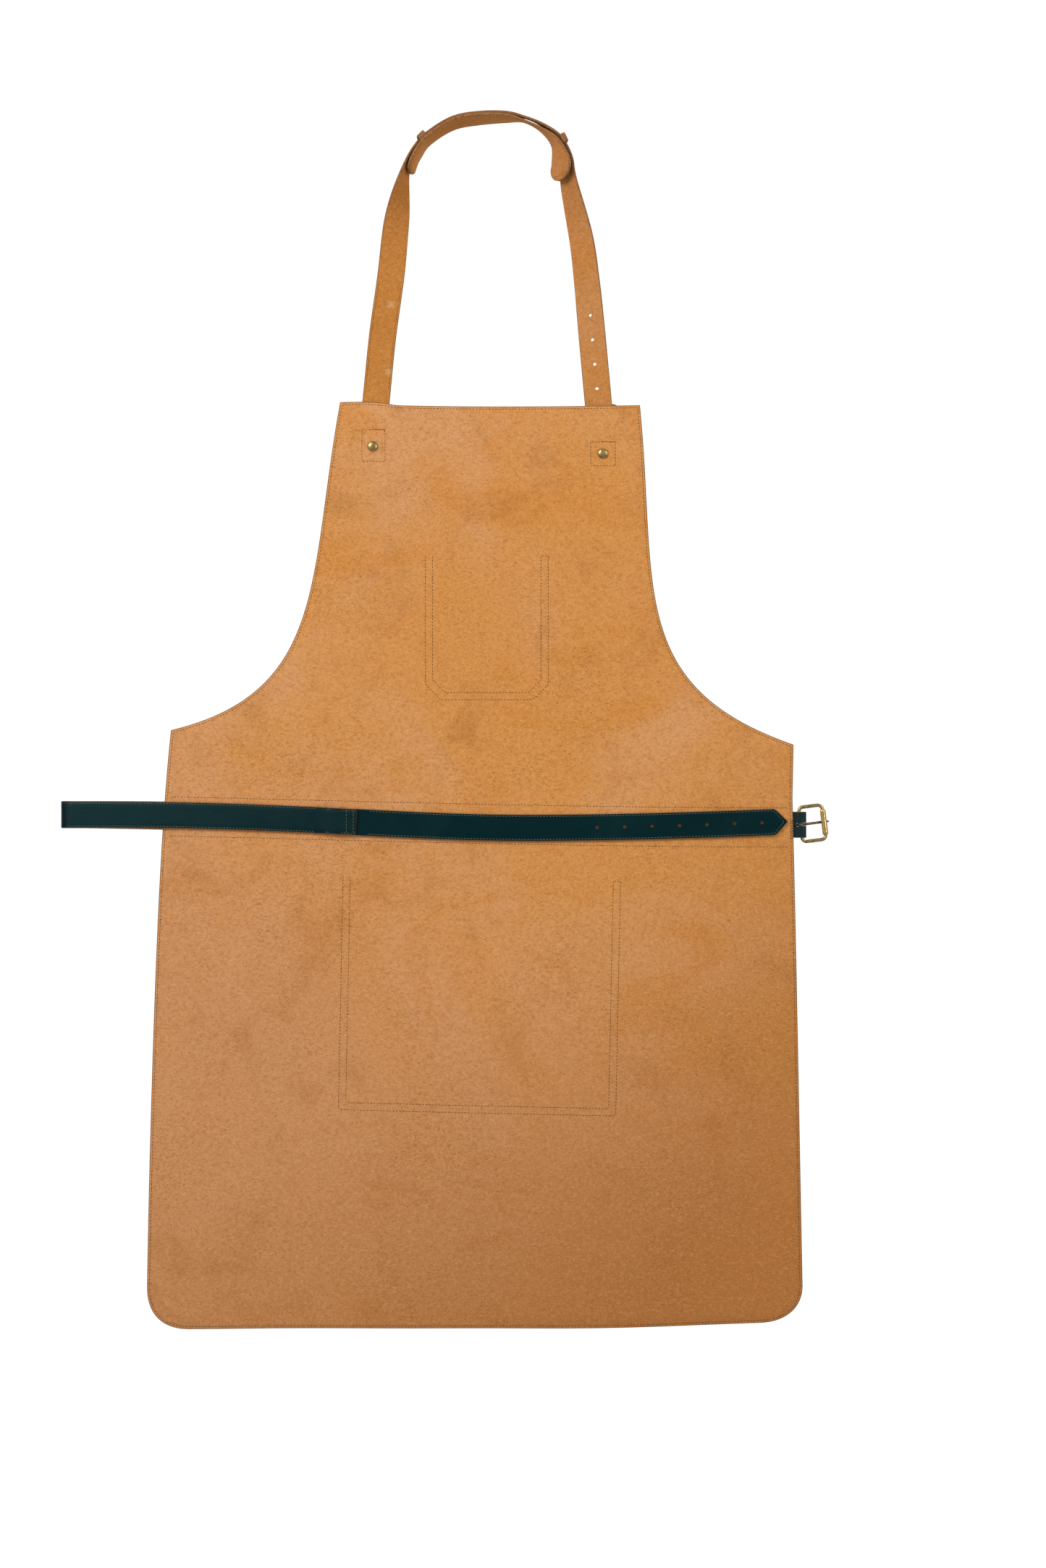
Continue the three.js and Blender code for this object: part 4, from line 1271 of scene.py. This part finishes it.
pad = {
    "width": 0.038,
    "thick": 0.0025,
    "gap": 0.00093,
    "flareLeft": 0.0015,
    "flareRight": 0.004,
    "round": 0.016,
    "seamIn": 0.0024,
    "keepers": {"left": -0.062, "right": 0.065},
}


def padRows():
    first = next(i for i, r in enumerate(loop) if r[0].z > -0.048)
    last = next(i for i, r in enumerate(loop) if r[0].x > 0.060 and r[0].z < -0.054)
    count = last - first
    span = 1 / 3.6  # rows here are closer together than the flares' own steps
    inner = strap["thick"] / 2 + pad["gap"] + pad["thick"] / 2
    rows = []
    for i, (at, u, out, along) in enumerate(loop[first:last + 1]):
        flare = pad["flareLeft"] * max(1 - i * span / 6, 0)
        flare += pad["flareRight"] * max(1 - (count - i) * span / 16, 0)
        rows.append((at - out * (inner + flare), u, out, along))
    return rows


def addPad():
    rows = padRows()
    steps = [0.0]
    for a, b in zip(rows, rows[1:]):
        steps.append(steps[-1] + (b[0] - a[0]).length)
    total = steps[-1]

    def widthAt(i):
        end = min(steps[i], total - steps[i])
        q = min((end + 0.0004) / pad["round"], 1)
        return pad["width"] * math.sqrt(max(1 - (1 - q) ** 2, 0.02))

    piece = addStrap("neck_pad_leather", rows, [strapSuede, bodyGreen, edgeTan], pad["thick"], widthAt)
    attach(piece, "neck_loop")
    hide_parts("neck_pad")
    for name, way, thread in (("pad_back_stitches", -1, darkThread), ("pad_face_stitches", 1, beigeThread)):
        edge = []
        for sign, order in ((1, range(len(rows))), (-1, reversed(range(len(rows))))):
            for i in order:
                half = widthAt(i) / 2 - pad["seamIn"]
                if half < 0.003 or min(steps[i], total - steps[i]) < pad["seamIn"]:
                    continue
                at, u, out, _ = rows[i]
                edge.append((tuple(at + u * sign * half + out * way * pad["thick"] / 2), tuple(out * way)))
        edge.append(edge[0])
        addStitches(name, [edge], thread, "neck_loop", radius=strap["stitch"])


addPad()


def keeperRing(clear, near, far, share, corner):  # a flat band bent round the strap
    wall, bevel = strap["keeper"], strap["keeper"] / 2
    wide = clear + wall
    outside = [(-wide, near), (-wide, far + wall * share), (-wide + bevel, far + wall)]
    within = [(clear, near), (clear, far - corner), (clear - corner - 0.0001, far)]
    outside += [(-a, b) for a, b in reversed(outside)]
    return outside + within + [(-a, b) for a, b in reversed(within)]


def addPadLoops():
    t, half = strap["thick"], strap["keeperLong"] / 2
    ring = keeperRing(strap["width"] / 2 + 0.0015, -t / 2 - 0.0003, t / 2 + strap["keeper"], 0.7, 0.0004)
    for name, x in pad["keepers"].items():
        at, u, out, along = min((r for r in loop if r[0].z > -0.060), key=lambda r: abs(r[0].x - x))
        points = []
        for d, shrink in ((-half, 0.00012), (-half + 0.0003, 0), (half - 0.0003, 0), (half, 0.00012)):
            for a, b in ring:
                points.append(at + along * d + u * (a - math.copysign(shrink, a)) + out * (b - shrink * 0.5))
        faces = walls(4, len(ring)) + caps(4, len(ring))
        piece = addMesh(name + "_pad_loop", points, faces, [edgeTan], smooth=False)
        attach(piece, "neck_loop")
        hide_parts(name + "_pad_keeper")


addPadLoops()


def addTailLoop():
    z, half = brass["neck"][0][2] - 0.0095, strap["keeperLong"] / 2
    far = tailY(z) + strap["clear"] + 0.0006
    ring = keeperRing(strap["width"] / 2 + 0.001, hideFront + 0.0003, far, 0.6, 0.0003)
    points = [Vector((rightX(z) + a, b, z + d)) for d in (-half, half) for a, b in ring]
    faces = walls(2, len(ring)) + caps(2, len(ring))
    piece = addMesh("neck_tail_loop", points, faces, [bodyGreen], smooth=False)
    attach(piece, "apron")
    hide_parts("neck_keeper")


addTailLoop()
print("strap and pad threaded")


# ---- seams that show on the body
squares = {  # the sewn squares round the rivets: left, right, top and foot
    "left": (-0.1177, -0.0964, -0.2853, -0.3145),
    "right": (0.0924, 0.1150, -0.2966, -0.3185),
}
bars = {"pitch": 0.0022, "radius": 0.00036, "top": -0.6437, "foot": -0.6617}


def addSeams():
    back, face = [onBack(rim)], [onFace(rim, hideFront)]
    patchFace = patch["off"] + patch["thick"]
    for p in pockets.values():
        back += [onBack(row) for row in pocketRows(p)]
    for offset in (-channel["rows"], channel["rows"]):
        stations = spread(channel["from"] + 0.003, channel["to"] - 0.003, 200)
        line = [(x, channelZ(x) + offset) for x in stations]
        back.append(onBack(line))
        face.append([((x, patchFace, z), (0, 1, 0)) for x, z in line])
    for x0, x1, top, foot in squares.values():
        back.append(onBack([(x0, top), (x0, foot), (x1, foot), (x1, top), (x0, top)]))
    for p in pockets.values():
        face += [onFace(row, patchFace) for row in pocketRows(p)[:2]]
    addStitches("back_seams", back, darkThread, "apron")
    addStitches("face_seams", face, beigeThread, "apron")

    heavy = []  # bars across the top of each square and at the channel's right end
    for x0, x1, top, _ in squares.values():
        heavy.append(onBack([((x0 + x1) / 2 - 0.001, top + 0.0003), (x1 + 0.0006, top - 0.0002)]))
    for shift in (0.0, 0.0011):
        x = channel["to"] - 0.0002 + shift
        heavy.append(onBack([(x, bars["top"]), (x - 0.0002, bars["foot"])]))
    addStitches("heavy_bars", heavy, darkThread, "apron", bars["pitch"], bars["radius"])


addSeams()
